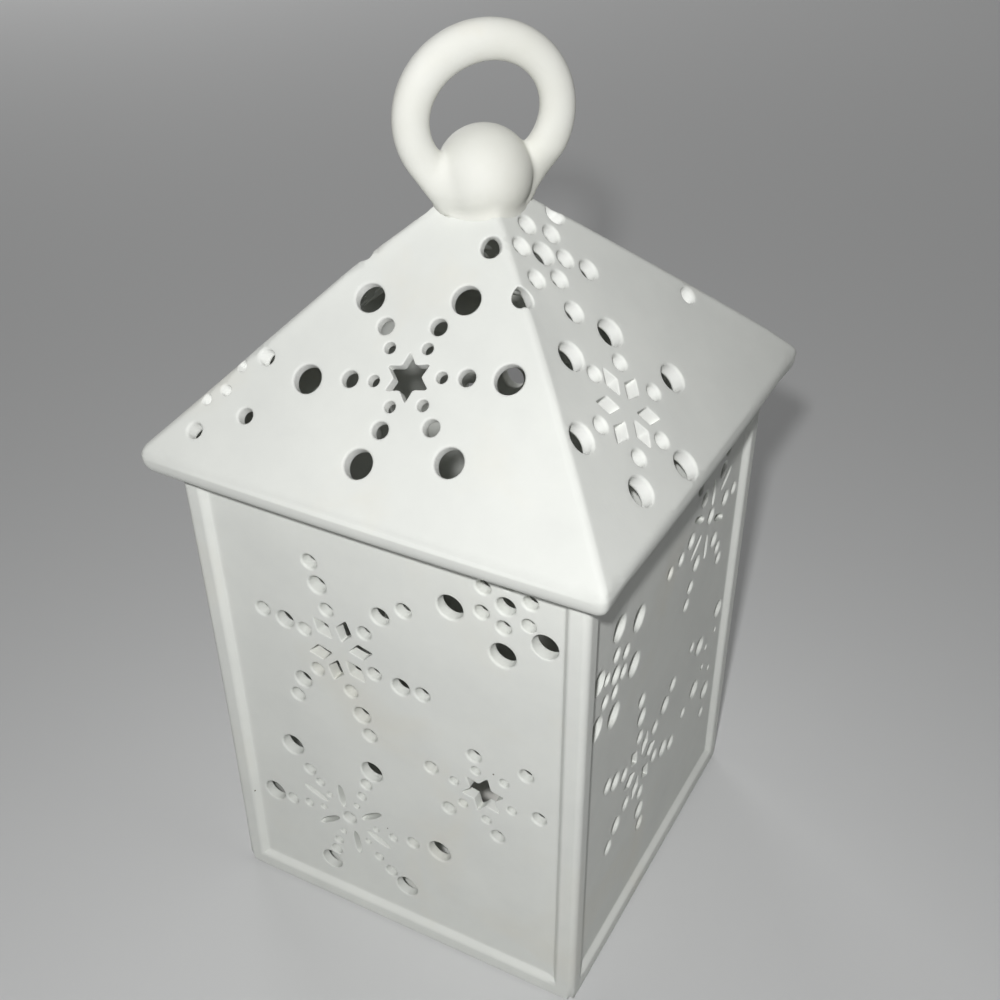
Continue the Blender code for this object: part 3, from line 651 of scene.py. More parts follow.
def panel(index, placed, centres):
    shape = bodyShape
    up = np.linspace(railWide, rimLow, len(postShares))
    side = np.c_[bodyHalf(up) - postWide, up]
    bottom, top = (np.c_[railShares * wide, np.full(len(railShares), z)] for wide, z in (side[0], side[-1]))
    right, left = side[1:-1], (side * (-1, 1))[::-1][1:-1]
    border = np.vstack([bottom, right, top[::-1], left])
    openings = []
    byPost, byRail, byRim = shape["holeClear"]
    drawn = [loop for flake in placed for loop in drawFlake(*flake)]
    for loop in settle(drawn, centres):
        # a hole hard by a post is drawn in to clear it
        limit = bodyHalf(loop[:, 1].mean()) - postWide - openingLook["lip"] - byPost
        over = np.abs(loop[:, 0]).max() - limit
        if 0 < over < shape["shift"]:
            loop = loop - [np.sign(loop[:, 0].mean()) * over, 0]
        low, high = loop[:, 1].min(), loop[:, 1].max()
        if over < shape["shift"] and low > railWide + byRail and high < shape["height"] - byRim:
            openings.append(softOutline(loop))
    byPost, byRail, byRim = shape["gridClear"]
    inner = spread((-60, railWide + byRail), (60, rimLow - byRim), shape["grid"])
    inner = inner[np.abs(inner[:, 0]) < bodyHalf(inner[:, 1]) - postWide - byPost]
    thick = shape["panel"]
    points, faces, count, rim = piercedSheet(border, inner, openings, thick)
    # sides and foot of the panel, then its eased top edge
    topRun = len(bottom) + len(right) + np.arange(len(top))
    walls = bridge(np.arange(rim), count + np.arange(rim))
    faces += [wall for i, wall in enumerate(walls) if i not in topRun[:-1]]
    ease = [(shape["rim"] * (1 - math.cos(a)), rimLow + shape["rim"] * math.sin(a)) for a in rimTurns]
    rows, parts, total = [topRun], [points], len(points)
    for deep, z in ease + [(thick - d, z) for d, z in ease[::-1]]:
        parts.append(np.c_[points[topRun, 0], np.full((len(top), 2), (z, deep))])
        rows.append(total + np.arange(len(top)))
        total += len(top)
    rows.append(count + topRun)
    for a, b in zip(rows, rows[1:]):
        faces += bridge(a, b)[:-1]
    faces += [tuple(row[end] for row in rows) for end in (0, -1)]
    u, z, deep = np.vstack(parts).T
    points = np.c_[u, deep * panelThick(z, u) / thick + shape["recess"] - bodyHalf(z), z]
    obj = meshPiece("panel_" + sideNames[index], bowed(quarterTurn(points, index)), faces, bodyBisque)
    return obj, len(openings)


for index, side in enumerate(sideNames):
    pair = "sides" if index % 2 else "frontBack"
    obj, count = panel(index, wallFlakes[pair], piercedCentres[pair])
    dress(obj, "body", "bisque", "wall_" + side)
    print("panel", side, "openings", count, "faces", len(obj.data.polygons))


def frameProfile():
    # from the panel's edge outwards: distance on a post, distance on a rail, depth behind the face
    shape = bodyShape
    ease, recess = shape["ease"], shape["recess"]
    post, rail, corner, foot = shape["postBevel"], shape["railBevel"], shape["corner"], shape["foot"]
    rows = [(0.0, 0.0, recess)]
    for share in (0.4, 0.8, 1.2):                      # the concave run up into the bevel
        rows.append((ease * share, ease * share, recess - shape["easeDeep"] * share ** 2))
    for share in (0.45, 0.70):                         # the bevel
        rows.append((ease + post * share, ease + rail * share, recess * (1 - share) * 0.98 + 0.02))
    for share, deep in ((0.85, 0.33), (1.0, 0.17), (1.16, 0.065), (1.33, 0.015), (1.5, 0.0)):   # the worn edge
        rows.append((ease + post * share, ease + rail * share, deep))
    # rows over the flat, then closer together round the corner and the foot
    lastPost, lastRail, _ = rows[-1]
    for share in (0.5, 1.0):
        rows.append((lastPost + (postWide - corner - lastPost) * share,
                     lastRail + (railWide - foot - lastRail) * share, 0.0))
    for share in (0.2, 0.4, 0.6, 0.8, 1.0):
        rows.append((postWide - corner * (1 - share), railWide - foot * (1 - share), 0.0))
    return rows


def framePath(side, rise):
    # down the left post, along the rail and up the right post
    ground = np.c_[railShares * side[-1], np.full(len(railShares), rise[-1])][1:-1]
    return np.vstack([np.c_[-side, rise], ground, np.c_[side, rise][::-1]])


def frameStrip():
    corner, foot = bodyShape["corner"], bodyShape["foot"]
    grid = []
    for post, rail, deep in frameProfile():
        low = railWide - rail
        rise = low + (rimLow - low) * postShares
        line = framePath(bodyHalf(rise) - postWide + post, rise)
        grid.append(np.c_[line, np.full(len(line), deep)])
    u, z, deep = np.vstack(grid).T
    half = bodyHalf(z)
    # the foot's edge rounds under
    turn = np.clip(1 - z / foot, 0, 1) * math.pi / 2
    inset = np.where(z < foot, foot * (1 - np.cos(turn)), 0.0)
    height = np.where(z < foot, foot * (1 - np.sin(turn)), z)
    scaled = half - inset
    # the corner rounds in plan, half on this wall and half on the next
    x, y = roundCorner(u * scaled / half, scaled, corner)
    return list(np.c_[x, deep - y, height].reshape(len(grid), -1, 3))


def frameBack():
    # behind the bevel: the cut edge beside the panel, then the inner corner
    shape = bodyShape
    back = []
    for behind, cornered, foot in ((0, 0, railWide), (1, 0, railWide), (1, 1, shape["floor"])):
        rise = foot + (rimLow - foot) * postShares
        deep = shape["recess"] + panelThick(rise)
        u, z = framePath(bodyHalf(rise) - (deep if cornered else postWide), rise).T
        back.append(np.c_[u, shape["recess"] + behind * panelThick(z) - bodyHalf(z), z])
    return back


def bodyFrame():
    seat, count = bodyShape["seat"], len(railShares)
    strip, back = frameStrip(), frameBack()
    # under the foot, in to the floor slab and up to the inner wall
    along = slice(len(postShares) - 1, len(postShares) - 1 + count)
    under = [np.c_[railShares * seat, np.full((count, 2), (-seat, z))] for z in (0.0, bodyShape["floor"])]
    under = [strip[-1][along]] + under + [back[-1][along]]
    points, faces, total = [], [], 0
    for index in range(4):
        for rows in (strip, back, under):
            faces += gridFaces(len(rows), len(rows[0]), start=total)
            points.append(quarterTurn(np.vstack(rows), index))
            total += len(points[-1])
    return np.vstack(points), faces


def closeFrame(points, faces):
    mesh = bpy.data.meshes.new("frameWork")
    mesh.from_pydata(points.tolist(), [], [list(map(int, face)) for face in faces])
    work = bmesh.new()
    work.from_mesh(mesh)
    bmesh.ops.remove_doubles(work, verts=work.verts, dist=0.002)
    for loop in walkLoops(e.verts for e in work.edges if len(e.link_faces) == 1):
        capPost(work, loop)
    work.verts.index_update()
    points = np.array([v.co[:] for v in work.verts])
    faces = [[v.index for v in f.verts] for f in work.faces]
    work.free()
    bpy.data.meshes.remove(mesh)
    return points, faces


def capPost(work, loop):
    # a post's top, eased round its edge except where it meets a panel
    rim = bodyShape["rim"]
    flat = np.array([v.co[:2] for v in loop])
    onward = np.roll(flat, -1, axis=0) - flat
    length = np.linalg.norm(onward, axis=1)
    inward = np.stack([-onward[:, 1], onward[:, 0]], axis=1) / length[:, None] * np.sign(turnArea(flat))
    joint = np.abs(length - panelThick(rimLow)) < 0.1
    shift = np.zeros_like(flat)
    for i in range(len(flat)):
        sides = [inward[k] for k in (i - 1, i) if not joint[k]]
        if len(sides) == 2:
            shift[i] = (sides[0] + sides[1]) / max(1 + sides[0] @ sides[1], 0.4)
        elif sides:
            shift[i] = sides[0]
    before = loop
    for turn in rimTurns:
        steps = np.c_[shift * rim * (1 - math.cos(turn)), np.full(len(flat), rim * math.sin(turn))]
        ring = [work.verts.new(v.co + Vector(step)) for v, step in zip(loop, steps)]
        for face in bridge(before, ring):
            work.faces.new(face)
        before = ring
    work.faces.new(before)


points, faces = closeFrame(*bodyFrame())
obj = meshPiece("bodyFrame", bowed(points), faces, bodyBisque)
dress(obj, "body", "bisque", *("post_" + c for c in cornerNames), *("rail_" + s for s in sideNames))
print("frame done, faces", len(obj.data.polygons))


floorShape = {"half": 50.3, "top": 4.0, "cove": 2.6, "underEdge": 0.5, "corner": 1.0, "grid": 5.0,
              "step": 0.02, "bury": 0.3}      # the cove's back stands this far inside the wall
cornerSteps = np.array([0, 0.5, 1.0, 1.5, 2.0, 2.6, 3.3, 4.2, 5.6])


def squareRing(half, radius, shares, z):
    # points round a square with rounded corners; shares run from -1 to 1 along each side
    x, y = roundCorner(shares[:-1] * half, half, min(radius, half * 0.95))
    side = np.c_[x, -y, np.full(len(x), z)]
    return np.vstack([quarterTurn(side, index) for index in range(4)])


def sideShares(half, step):
    # shares along one side, closer together towards its two corners
    left = cornerSteps - half
    middle = np.linspace(left[-1], -left[-1], int(round(-2 * left[-1] / step)) + 1)[1:-1]
    return np.r_[left, middle, -left[::-1]] / half


def floorSlab(shape=floorShape):
    half, top, cove, edge = shape["half"], shape["top"], shape["cove"], shape["underEdge"]
    inner = bodyHalf(top) - bodyShape["recess"] - panelThick(top)
    behind = inner + shape["bury"]
    profile = [(half - edge, 0.0), (half, edge), (half, top - shape["step"]), (behind, top), (behind, top + cove)]
    for turn in np.radians((0, 18, 36, 54, 72, 90)):
        profile.append((inner - cove * (1 - math.cos(turn)), top + cove * (1 - math.sin(turn))))
    shares = sideShares(half, shape["grid"])
    rings = [squareRing(reach, shape["corner"], shares, z) for reach, z in profile]
    return meshPiece("floorSlab", np.vstack(rings), tubeFaces(len(rings), len(rings[0])), bodyBisque)


obj = floorSlab()
dress(obj, "body", "bisque", "floor_slab")
print("floor done, faces", len(obj.data.polygons))


# finial: a ball with a ring grown into it

roofApex, roofSlope = 211.5, 0.977      # the finial's foot and the roof share these
slant = math.hypot(1.0, roofSlope)
diagonal = math.sqrt(0.5)
finialShape = {
    "centre": 210.5, "ball": 11.45,
    "ringCentre": 224.1, "ringRadius": 17.5, "tube": 4.4, "tubeWide": 3.6, "aside": 0.5,
    "legAngle": math.radians(34.0), "foot": 206.5,
    # the left leg comes forward, the right one goes back
    "drift": (1.0, -1.6), "driftFrom": 216.0, "driftRun": 9.0,
    # the hand-rolled ring: its radius and thickness by 1, cos, sin, cos 2 and sin 2 of the angle
    "oval": (-0.36, 0.20, 0.41, 0.34, 0.27), "uneven": (0.16, -0.02, -0.03, -0.21, -0.22),
    # the left leg is smeared broadly into the ball: from, run, to, run, run aside
    "fillet": 1.6, "leftFill": 3.8, "smear": (203.0, 5.0, 218.0, 6.0, 8.0),
    # the foot runs out onto the roof's tip, from just under its surface
    "tipRound": 1.9, "tipSwell": 0.9, "footSink": 0.3, "footFill": 3.0, "footReach": 1.5,
    # the rough casting and the steps that draw it onto the form
    "heart": 205.5, "ringSteps": 97, "tubeSides": 24, "voxel": 0.5, "steps": 6, "leastSlope": 0.2,
}


def smoothMin(a, b, width):
    share = np.clip(0.5 + 0.5 * (b - a) / width, 0, 1)
    return b + (a - b) * share - width * share * (1 - share)


def ringForm(angle, shape=finialShape):
    # the ring's radius and its tube's radius at an angle above the level
    waves = np.stack([np.ones_like(angle), np.cos(angle), np.sin(angle), np.cos(2 * angle), np.sin(2 * angle)])
    return (shape["ringRadius"] + np.tensordot(shape["oval"], waves, 1),
            shape["tube"] + np.tensordot(shape["uneven"], waves, 1))


def ringLegs(shape=finialShape):
    # each leg leaves the ring on its tangent: start, foot, tube
    leg = shape["legAngle"]
    legs = []
    for side, angle in ((1, -leg), (-1, math.pi + leg)):
        radius, tube = ringForm(np.array(angle))
        start = np.array([math.cos(angle), math.sin(angle)]) * radius
        fall = start[1] - (shape["foot"] - shape["ringCentre"])
        legs.append((start, start - fall * np.array([side * math.tan(leg), 1.0]), float(tube)))
    return legs


def ringAside(s, z, shape=finialShape):
    # how far the ring's middle line stands in front of its plane
    share = softStep((shape["driftFrom"] - z) / shape["driftRun"])
    return shape["aside"] + share * np.where(s < 0, *shape["drift"])


def ringDistance(p, shape=finialShape):
    s = (p[:, 0] + p[:, 1]) * diagonal
    t = (p[:, 0] - p[:, 1]) * diagonal - ringAside(s, p[:, 2])
    z = p[:, 2] - shape["ringCentre"]
    fromTop = np.arctan2(s, z)
    radius, tube = ringForm(math.pi / 2 - fromTop)
    onArc = np.abs(fromTop) < math.pi / 2 + shape["legAngle"]
    gap = np.where(onArc, np.abs(np.hypot(s, z) - radius), 1e3)
    flat = np.c_[s, z]
    for start, foot, legTube in ringLegs():
        along = foot - start
        share = np.clip((flat - start) @ along / (along @ along), 0, 1)
        straight = np.linalg.norm(flat - start - share[:, None] * along, axis=1)
        tube = np.where(straight < gap, legTube, tube)
        gap = np.minimum(gap, straight)
    return np.hypot(gap, t * tube / shape["tubeWide"]) - tube


def tipDistance(p, shape=finialShape):
    # depth under the roof's tip, whose front left hip is swollen
    across = np.abs(p[:, :2])
    run = -smoothMin(-across[:, 0], -across[:, 1], shape["tipRound"])
    onHip = (across.min(axis=1) / np.maximum(across.max(axis=1), 1e-6)) ** 4
    swell = shape["tipSwell"] * onHip * (p[:, :2].max(axis=1) < 0)
    return (p[:, 2] - roofApex + roofSlope * run) / slant - swell + shape["footSink"]


def finialDistance(p, shape=finialShape):
    x, y, z = p.T
    ball = np.linalg.norm(p - np.array([0, 0, shape["centre"]]), axis=1) - shape["ball"]
    low, lowRun, high, highRun, asideRun = shape["smear"]
    smear = (np.clip((high - z) / highRun, 0, 1) * np.clip((z - low) / lowRun, 0, 1)
             * np.clip(-(x + y) / asideRun, 0, 1))
    body = smoothMin(ball, ringDistance(p), shape["fillet"] + (shape["leftFill"] - shape["fillet"]) * smear)
    return smoothMin(body, np.maximum(tipDistance(p), ball - shape["footReach"]), shape["footFill"])


def slopeOf(field, p, step=0.02):
    return np.stack([(field(p + d) - field(p - d)) / (2 * step) for d in np.eye(3) * step], axis=1)


def roughRing(work, shape=finialShape):
    # the tube along the ring and down both legs, closed at its feet
    leg = shape["legAngle"]
    angles = np.linspace(-leg, math.pi + leg, shape["ringSteps"])
    radius, tubes = ringForm(angles)
    (_, right, rightTube), (_, left, leftTube) = ringLegs()
    path = np.vstack([right, np.c_[radius * np.cos(angles), radius * np.sin(angles)], left])
    path[:, 1] += shape["ringCentre"]
    tubes = np.r_[rightTube, tubes, leftTube]
    turns = np.arange(shape["tubeSides"]) * 2 * math.pi / shape["tubeSides"]
    rings = []
    for i, (s, z) in enumerate(path):
        along = path[min(i + 1, len(path) - 1)] - path[max(i - 1, 0)]
        along /= np.linalg.norm(along)
        out = s + along[1] * tubes[i] * np.cos(turns)
        aside = ringAside(s, z) + shape["tubeWide"] * np.sin(turns)
        ring = np.c_[(out + aside) * diagonal, (out - aside) * diagonal, z - along[0] * tubes[i] * np.cos(turns)]
        rings.append([work.verts.new(point) for point in ring])
    for a, b in zip(rings, rings[1:]):
        for face in bridge(a, b):
            work.faces.new(face)
    for end in (rings[0], rings[-1]):
        work.faces.new(end)


def finialCasting(shape=finialShape):
    # rough ball and tube, fused by a fine remesh and then drawn onto the exact smooth form
    work = bmesh.new()
    middle = Matrix.Translation((0, 0, shape["centre"]))
    bmesh.ops.create_icosphere(work, subdivisions=4, radius=shape["ball"], matrix=middle)
    foot = bmesh.ops.create_icosphere(work, subdivisions=5, radius=shape["ball"] + shape["footReach"],
                                      matrix=middle)["verts"]
    # the foot is drawn in to the roof's tip
    heart = Vector((0, 0, shape["heart"]))
    depth = -tipDistance(np.array([heart]))[0]
    for vert, above in zip(foot, tipDistance(np.array([v.co[:] for v in foot]))):
        vert.co = heart + (vert.co - heart) * depth / (depth + max(above, 0))
    roughRing(work)
    bmesh.ops.recalc_face_normals(work, faces=work.faces)
    rough = bpy.data.meshes.new("finialRough")
    work.to_mesh(rough)
    work.free()
    obj = bpy.data.objects.new("finialRough", rough)
    scene.collection.objects.link(obj)
    fuse = obj.modifiers.new("fuse", "REMESH")
    fuse.mode = "VOXEL"
    fuse.voxel_size = shape["voxel"]
    mesh = plainMesh(obj)
    points = np.array([v.co[:] for v in mesh.vertices])
    faces = [list(f.vertices) for f in mesh.polygons]
    bpy.data.objects.remove(obj)
    bpy.data.meshes.remove(mesh)
    for _ in range(shape["steps"]):
        slope = slopeOf(finialDistance, points)
        steep = np.maximum((slope ** 2).sum(axis=1), shape["leastSlope"])
        points -= slope * (finialDistance(points) / steep)[:, None]
    return meshPiece("finialRing", points, faces, finialBisque)


obj = finialCasting()
dress(obj, "roof", "finial_bisque", "finial_ball", "ring_handle")
print("finial done, faces", len(obj.data.polygons))


# roof: one shell of four slopes, unfolded flat round the apex to be pierced, then folded

roofShape = {
    "thick": 3.0,
    # the slabs thicken towards the eave, and the right one towards the tip too
    "thickAt": (10, 30, 50, 66, 78, 84, 88), "thickMore": (0, 0, 0, 0.4, 1.2, 0.8, 0),
    "rightMore": (1.0, 0.9, 1.2, 1.3, 1.6, 1.4, 0.5),
    "hip": 1.6, "innerHip": 1.0, "hipReach": 8.0, "bulge": 0.275,
    # how far each hip swells on its way down, and how far the front right one leans aside
    "swellFrom": 14.0, "swellAt": (0, 0.12, 0.25, 0.4, 0.55, 0.7, 0.85, 1),
    "swell": {"frontLeft": (0.9, 1.5, 1.8, 1.4, 1.05, 0.55, 0.2, 0),
              "frontRight": (0, 0.4, 0.8, 1.05, 1.1, 0.9, 0.5, 0),
              "backRight": (0, 0.3, 0.5, 0.7, 0.85, 0.95, 0.95, 0.3),
              "backLeft": (0, 0.4, 0.8, 1.05, 1.1, 0.9, 0.5, 0)},
    "swellOut": 0.70, "swellUp": 0.71, "swellAside": 0.5, "lean": 0.55,
    # the sheet's ends, and the range of its holes
    "sheetEnd": 88.8, "sheetTop": 10.4, "highest": 202.2, "lowest": 88.0, "seamGap": 1.5,
    "eaveHalf": 62.9, "nose": 4.5, "crispNose": 1.6, "crispEdge": 5.4, "crispRun": 20.0, "eaveCorner": 1.8,
    "eaveBow": 0.7, "under": 143.3, "underEdge": 3.3, "underRise": 4.6,
    "lipOuter": 48.5, "lipInner": 45.5, "lipFoot": 138.0, "lipCorner": 2.0, "innerHalf": 45.2,
    "ceiling": ((45.2, 144.6), (45.5, 144.9), (48.5, 145.0), (54.0, 145.1), (57.8, 145.4), (59.2, 146.4)),
    # points of the sheet: over the slopes, along the eave, seam, tip and hips, and round the eave's nose
    "grid": 2.8, "eaveGrid": 2.7, "seamRows": 30, "tipSteps": 65, "hipGrid": 2.2,
    "hipAside": (0.6, 1.2, 1.9, 2.7, 3.6), "hipClear": 4.6, "tipClear": 17.5,
    "tipRings": (10.8, 11.4, 12.2, 13.2, 14.4, 15.8, 17.2), "tipRingSteps": 97,
    "noseRows": (86.0, 86.7, 87.4, 88.05),
    "diveWithin": 10.9, "dive": 0.06,       # the tip's innermost rows, drawn into the ball
}
faceTurn = math.atan(1.0 / slant)              # half the angle of one slope at the apex
noseTurn = math.atan(1.0 / roofSlope)
hipFar = math.hypot(1, 1 / slant)              # way down a hip for one step down the slope
slopes = (-1, 0, 1, 2)                         # left, front, right and back
seamTurns = np.array([-3, 5]) * faceTurn       # the sheet's two seams


def polar(angle, far):
    return np.c_[np.sin(angle) * far, np.cos(angle) * far]


def unfold(u, v, face):
    return polar(np.arctan2(u, v) + 2 * faceTurn * face, np.hypot(u, v))


def sheetAngle(flat, least):
    angle = np.arctan2(flat[:, 0], flat[:, 1])
    return np.where(angle < least * faceTurn, angle + 2 * math.pi, angle)


def faceOf(flat):
    # the slope that a point of the sheet lies on, and its place across and down that slope
    angle = sheetAngle(flat, -3.5)
    face = np.clip(np.round(angle / (2 * faceTurn)), slopes[0], slopes[-1])
    u, v = polar(angle - 2 * faceTurn * face, np.hypot(*flat.T)).T
    return face.astype(int), u, v


def noseOf(radius):
    # the eave's round: its middle's distance and height, and where the slope runs into it
    half = roofShape["eaveHalf"] - radius
    return half, roofApex - roofSlope * half - radius * slant, half * slant + radius * roofSlope


def fold(flat, depth, shape=roofShape):
    face, u, v = faceOf(flat)
    onRight = (face == 1) & (np.abs(u) < v / slant - 2)
    more = np.where(onRight, np.interp(v, shape["thickAt"], shape["rightMore"]),
                    np.interp(v, shape["thickAt"], shape["thickMore"]))
    depth = depth * (1 + more / shape["thick"])
    outer = v / slant
    run = outer - depth * roofSlope / slant
    z = roofApex - v * roofSlope / slant - depth / slant
    # below the straight slope the sheet turns over the eave's round, which is crisper on the right
    crisp = (face == 1) * softStep((outer - np.abs(u)) / shape["crispRun"])
    nose = shape["nose"] + (shape["crispNose"] - shape["nose"]) * crisp
    noseHalf, noseZ, tangent = noseOf(nose)
    turn = noseTurn - np.maximum(v - tangent, 0) / nose
    rounded = v > tangent
    within = nose - np.minimum(depth, nose * 0.9)
    run = np.where(rounded, noseHalf + within * np.cos(turn), run)
    z = np.where(rounded, noseZ + within * np.sin(turn), z)
    outer = np.where(rounded, noseHalf + nose * np.cos(turn), outer)
    u = u * outer * slant / v
    # inner points near a hip are drawn in with it
    near = softStep(1 - (outer - np.abs(u)) / shape["hipReach"])
    across = np.sign(u) * (np.abs(u) - near * (outer - run))
    radius = shape["hip"] + (shape["innerHip"] - shape["hip"]) * np.minimum(depth / shape["thick"], 1)
    x, y = roundCorner(across, run, np.minimum(radius, run * 0.6))
    # the slopes and hips swell a little between apex and eave
    share = np.clip((v - shape["swellFrom"]) / (shape["sheetEnd"] - shape["swellFrom"]), 0, 1)
    edge = (np.abs(u) / np.maximum(outer, 1e-6)) ** 4
    names = ("backLeft", "frontLeft", "frontRight", "backRight", "backLeft")
    runs = np.array([np.interp(share, shape["swellAt"], shape["swell"][name]) for name in names])
    hip = runs[face + 1 + (u > 0), np.arange(len(u))]
    swell = np.sin(math.pi * share) * shape["bulge"] * (1 - edge) + hip * edge
    x = x + np.sign(u) * swell * edge * shape["swellAside"]
    points = np.c_[x, -(y + swell * shape["swellOut"]), z + swell * shape["swellUp"]]
    for index in slopes:
        chosen = face == index
        points[chosen] = quarterTurn(points[chosen], index)
    leaning = ((face == 0) & (u > 0)) | ((face == 1) & (u < 0))
    points[:, :2] += (leaning * edge * np.sin(math.pi * share) * shape["lean"] * diagonal)[:, None]
    return points


def roofOpenings(shape=roofShape):
    drawn = []
    for home, name, across, down, turn in roofFlakes:
        face = home if home < 3 else -1
        for loop in drawFlake(name, across, down, turn):
            # a hole on the sheet's own seam is left out
            toSeam = loop[:, 1] / slant - loop[:, 0] * {2: 1, -1: -1}.get(face, 0)
            if toSeam.min() > shape["seamGap"]:
                drawn.append(unfold(*loop.T, face))
    centres = [unfold(*np.array(piercedCentres[key]).T, face)
               for face, key in enumerate(("roofFront", "roofRight"))]
    found = []
    for flat in settle(drawn, np.vstack(centres)):
        _, _, v = faceOf(flat)
        top = roofApex - v.min() * roofSlope / slant
        if v.max() < shape["lowest"] and top < shape["highest"]:
            found.append(softOutline(flat))
    return found


def slopeRow(across, down):
    # one level row over all four slopes of the sheet
    return np.vstack([unfold(across, np.full(len(across), down), face) for face in slopes])


def roofBorder(shares, shape=roofShape):
    # the sheet's outline: eave, seam, tip and seam
    end, top = shape["sheetEnd"], shape["sheetTop"]
    noseRows = np.array(shape["noseRows"])
    seam = np.r_[noseRows[::-1] * hipFar, np.linspace(noseRows[0] * hipFar - 2.0, top, shape["seamRows"])[:-1]]
    bottom = np.vstack([slopeRow(shares[:-1] * end / slant, end), polar(seamTurns[1], np.array([end * hipFar]))])
    arc = polar(np.linspace(5, -3, shape["tipSteps"]) * faceTurn, top)
    return bottom, polar(seamTurns[1], seam), arc, polar(seamTurns[0], seam[::-1])


def roofInner(shares, shape=roofShape):
    noseRows = np.array(shape["noseRows"])
    wide = shape["sheetEnd"] * hipFar
    grid = spread((-wide, -wide), (wide, wide), shape["grid"])
    _, u, v = faceOf(grid)
    keep = (sheetAngle(grid, -3) < seamTurns[1]) & (v < noseRows[0] - 1.2)
    keep &= (np.hypot(*grid.T) > shape["tipClear"]) & (v / slant - np.abs(u) > shape["hipClear"])
    parts = [grid[keep]]
    # close rows along the hips, and rings under the ball
    far = np.r_[np.arange(shape["tipClear"] + 1.0, noseRows[0] * hipFar - 1.0, shape["hipGrid"]), noseRows * hipFar]
    beside = shape["hipAside"]
    for hip in (-3, -1, 1, 3, 5):
        way = hip * faceTurn
        asides = [-aside for aside in beside[::-1]] * (hip > -3) + [0] * (-3 < hip < 5) + [*beside] * (hip < 5)
        for aside in asides:
            parts.append(polar(way, far) + aside * np.array([math.cos(way), -math.sin(way)]))
    turns = np.linspace(-3, 5, shape["tipRingSteps"])[1:-1] * faceTurn
    parts += [polar(turns, ring) for ring in shape["tipRings"]]
    # close rows round the eave's nose
    straight = shares[len(cornerSteps):-len(cornerSteps)]
    parts += [slopeRow(straight * row / slant, row) for row in noseRows]
    inner = np.vstack(parts)
    _, _, v = faceOf(inner)
    return inner[v < shape["sheetEnd"] - 0.7]


def eaveProfile(shape=roofShape):
    # distance, height, corner and bow: a broad round off the slope, a short upright face and a small round under it
    profile = []
    nose, edge, wide = shape["nose"], shape["underEdge"], shape["eaveHalf"]
    noseHalf, noseZ, tangent = noseOf(nose)
    start = noseTurn - (shape["sheetEnd"] - tangent) / nose
    for turn in np.linspace(start, 0, 5)[1:]:
        share = 1 - turn / start
        corner = shape["hip"] + (shape["eaveCorner"] - shape["hip"]) * share
        profile.append((noseHalf + nose * math.cos(turn), noseZ + nose * math.sin(turn), corner, share))
    for turn in np.radians((0, 15, 30, 45, 60, 75, 90)):
        profile.append((wide - edge + edge * math.cos(turn),
                        shape["under"] + shape["underRise"] * (1 - math.sin(turn)), shape["eaveCorner"], 1.0))
    # the same rows on the right, where the eave is cut away under its edge
    edge, crispTop = shape["crispEdge"], noseOf(shape["crispNose"])[1]
    crispRows = [(wide - edge * (1 - math.cos(turn)), crispTop - (crispTop - shape["under"]) * math.sin(turn))
                 for turn in np.radians(np.linspace(6, 90, len(profile)))]
    # the lip and the ceiling behind it
    out, inside, foot, under = shape["lipOuter"], shape["lipInner"], shape["lipFoot"], shape["under"]
    lip = ((out + 0.6, under), (out + 0.15, under - 0.15), (out, under - 0.6), (out, foot + 0.9),
           (out - 0.25, foot + 0.25), (out - 0.9, foot), (inside + 0.7, foot), (inside + 0.2, foot + 0.2),
           (inside, foot + 0.7), (inside, under - 0.2), (shape["innerHalf"], under + 0.4))
    profile += [(half, z, shape["lipCorner"], 0.0) for half, z in lip + shape["ceiling"]]
    return profile, crispRows


def eaveRing(half, z, corner, bow, shares):
    ring = squareRing(half, corner, shares, z)
    # the eave runs a little full between its corners
    for axis in (0, 1):
        on = np.abs(ring[:, axis]) > half - 0.01
        full = 1 - (ring[on, 1 - axis] / half) ** 2
        ring[on, axis] += np.sign(ring[on, axis]) * bow * roofShape["eaveBow"] * full
    # squareRing starts on the front slope, the sheet's border on the left one
    return np.roll(ring, len(ring) // 4, axis=0)


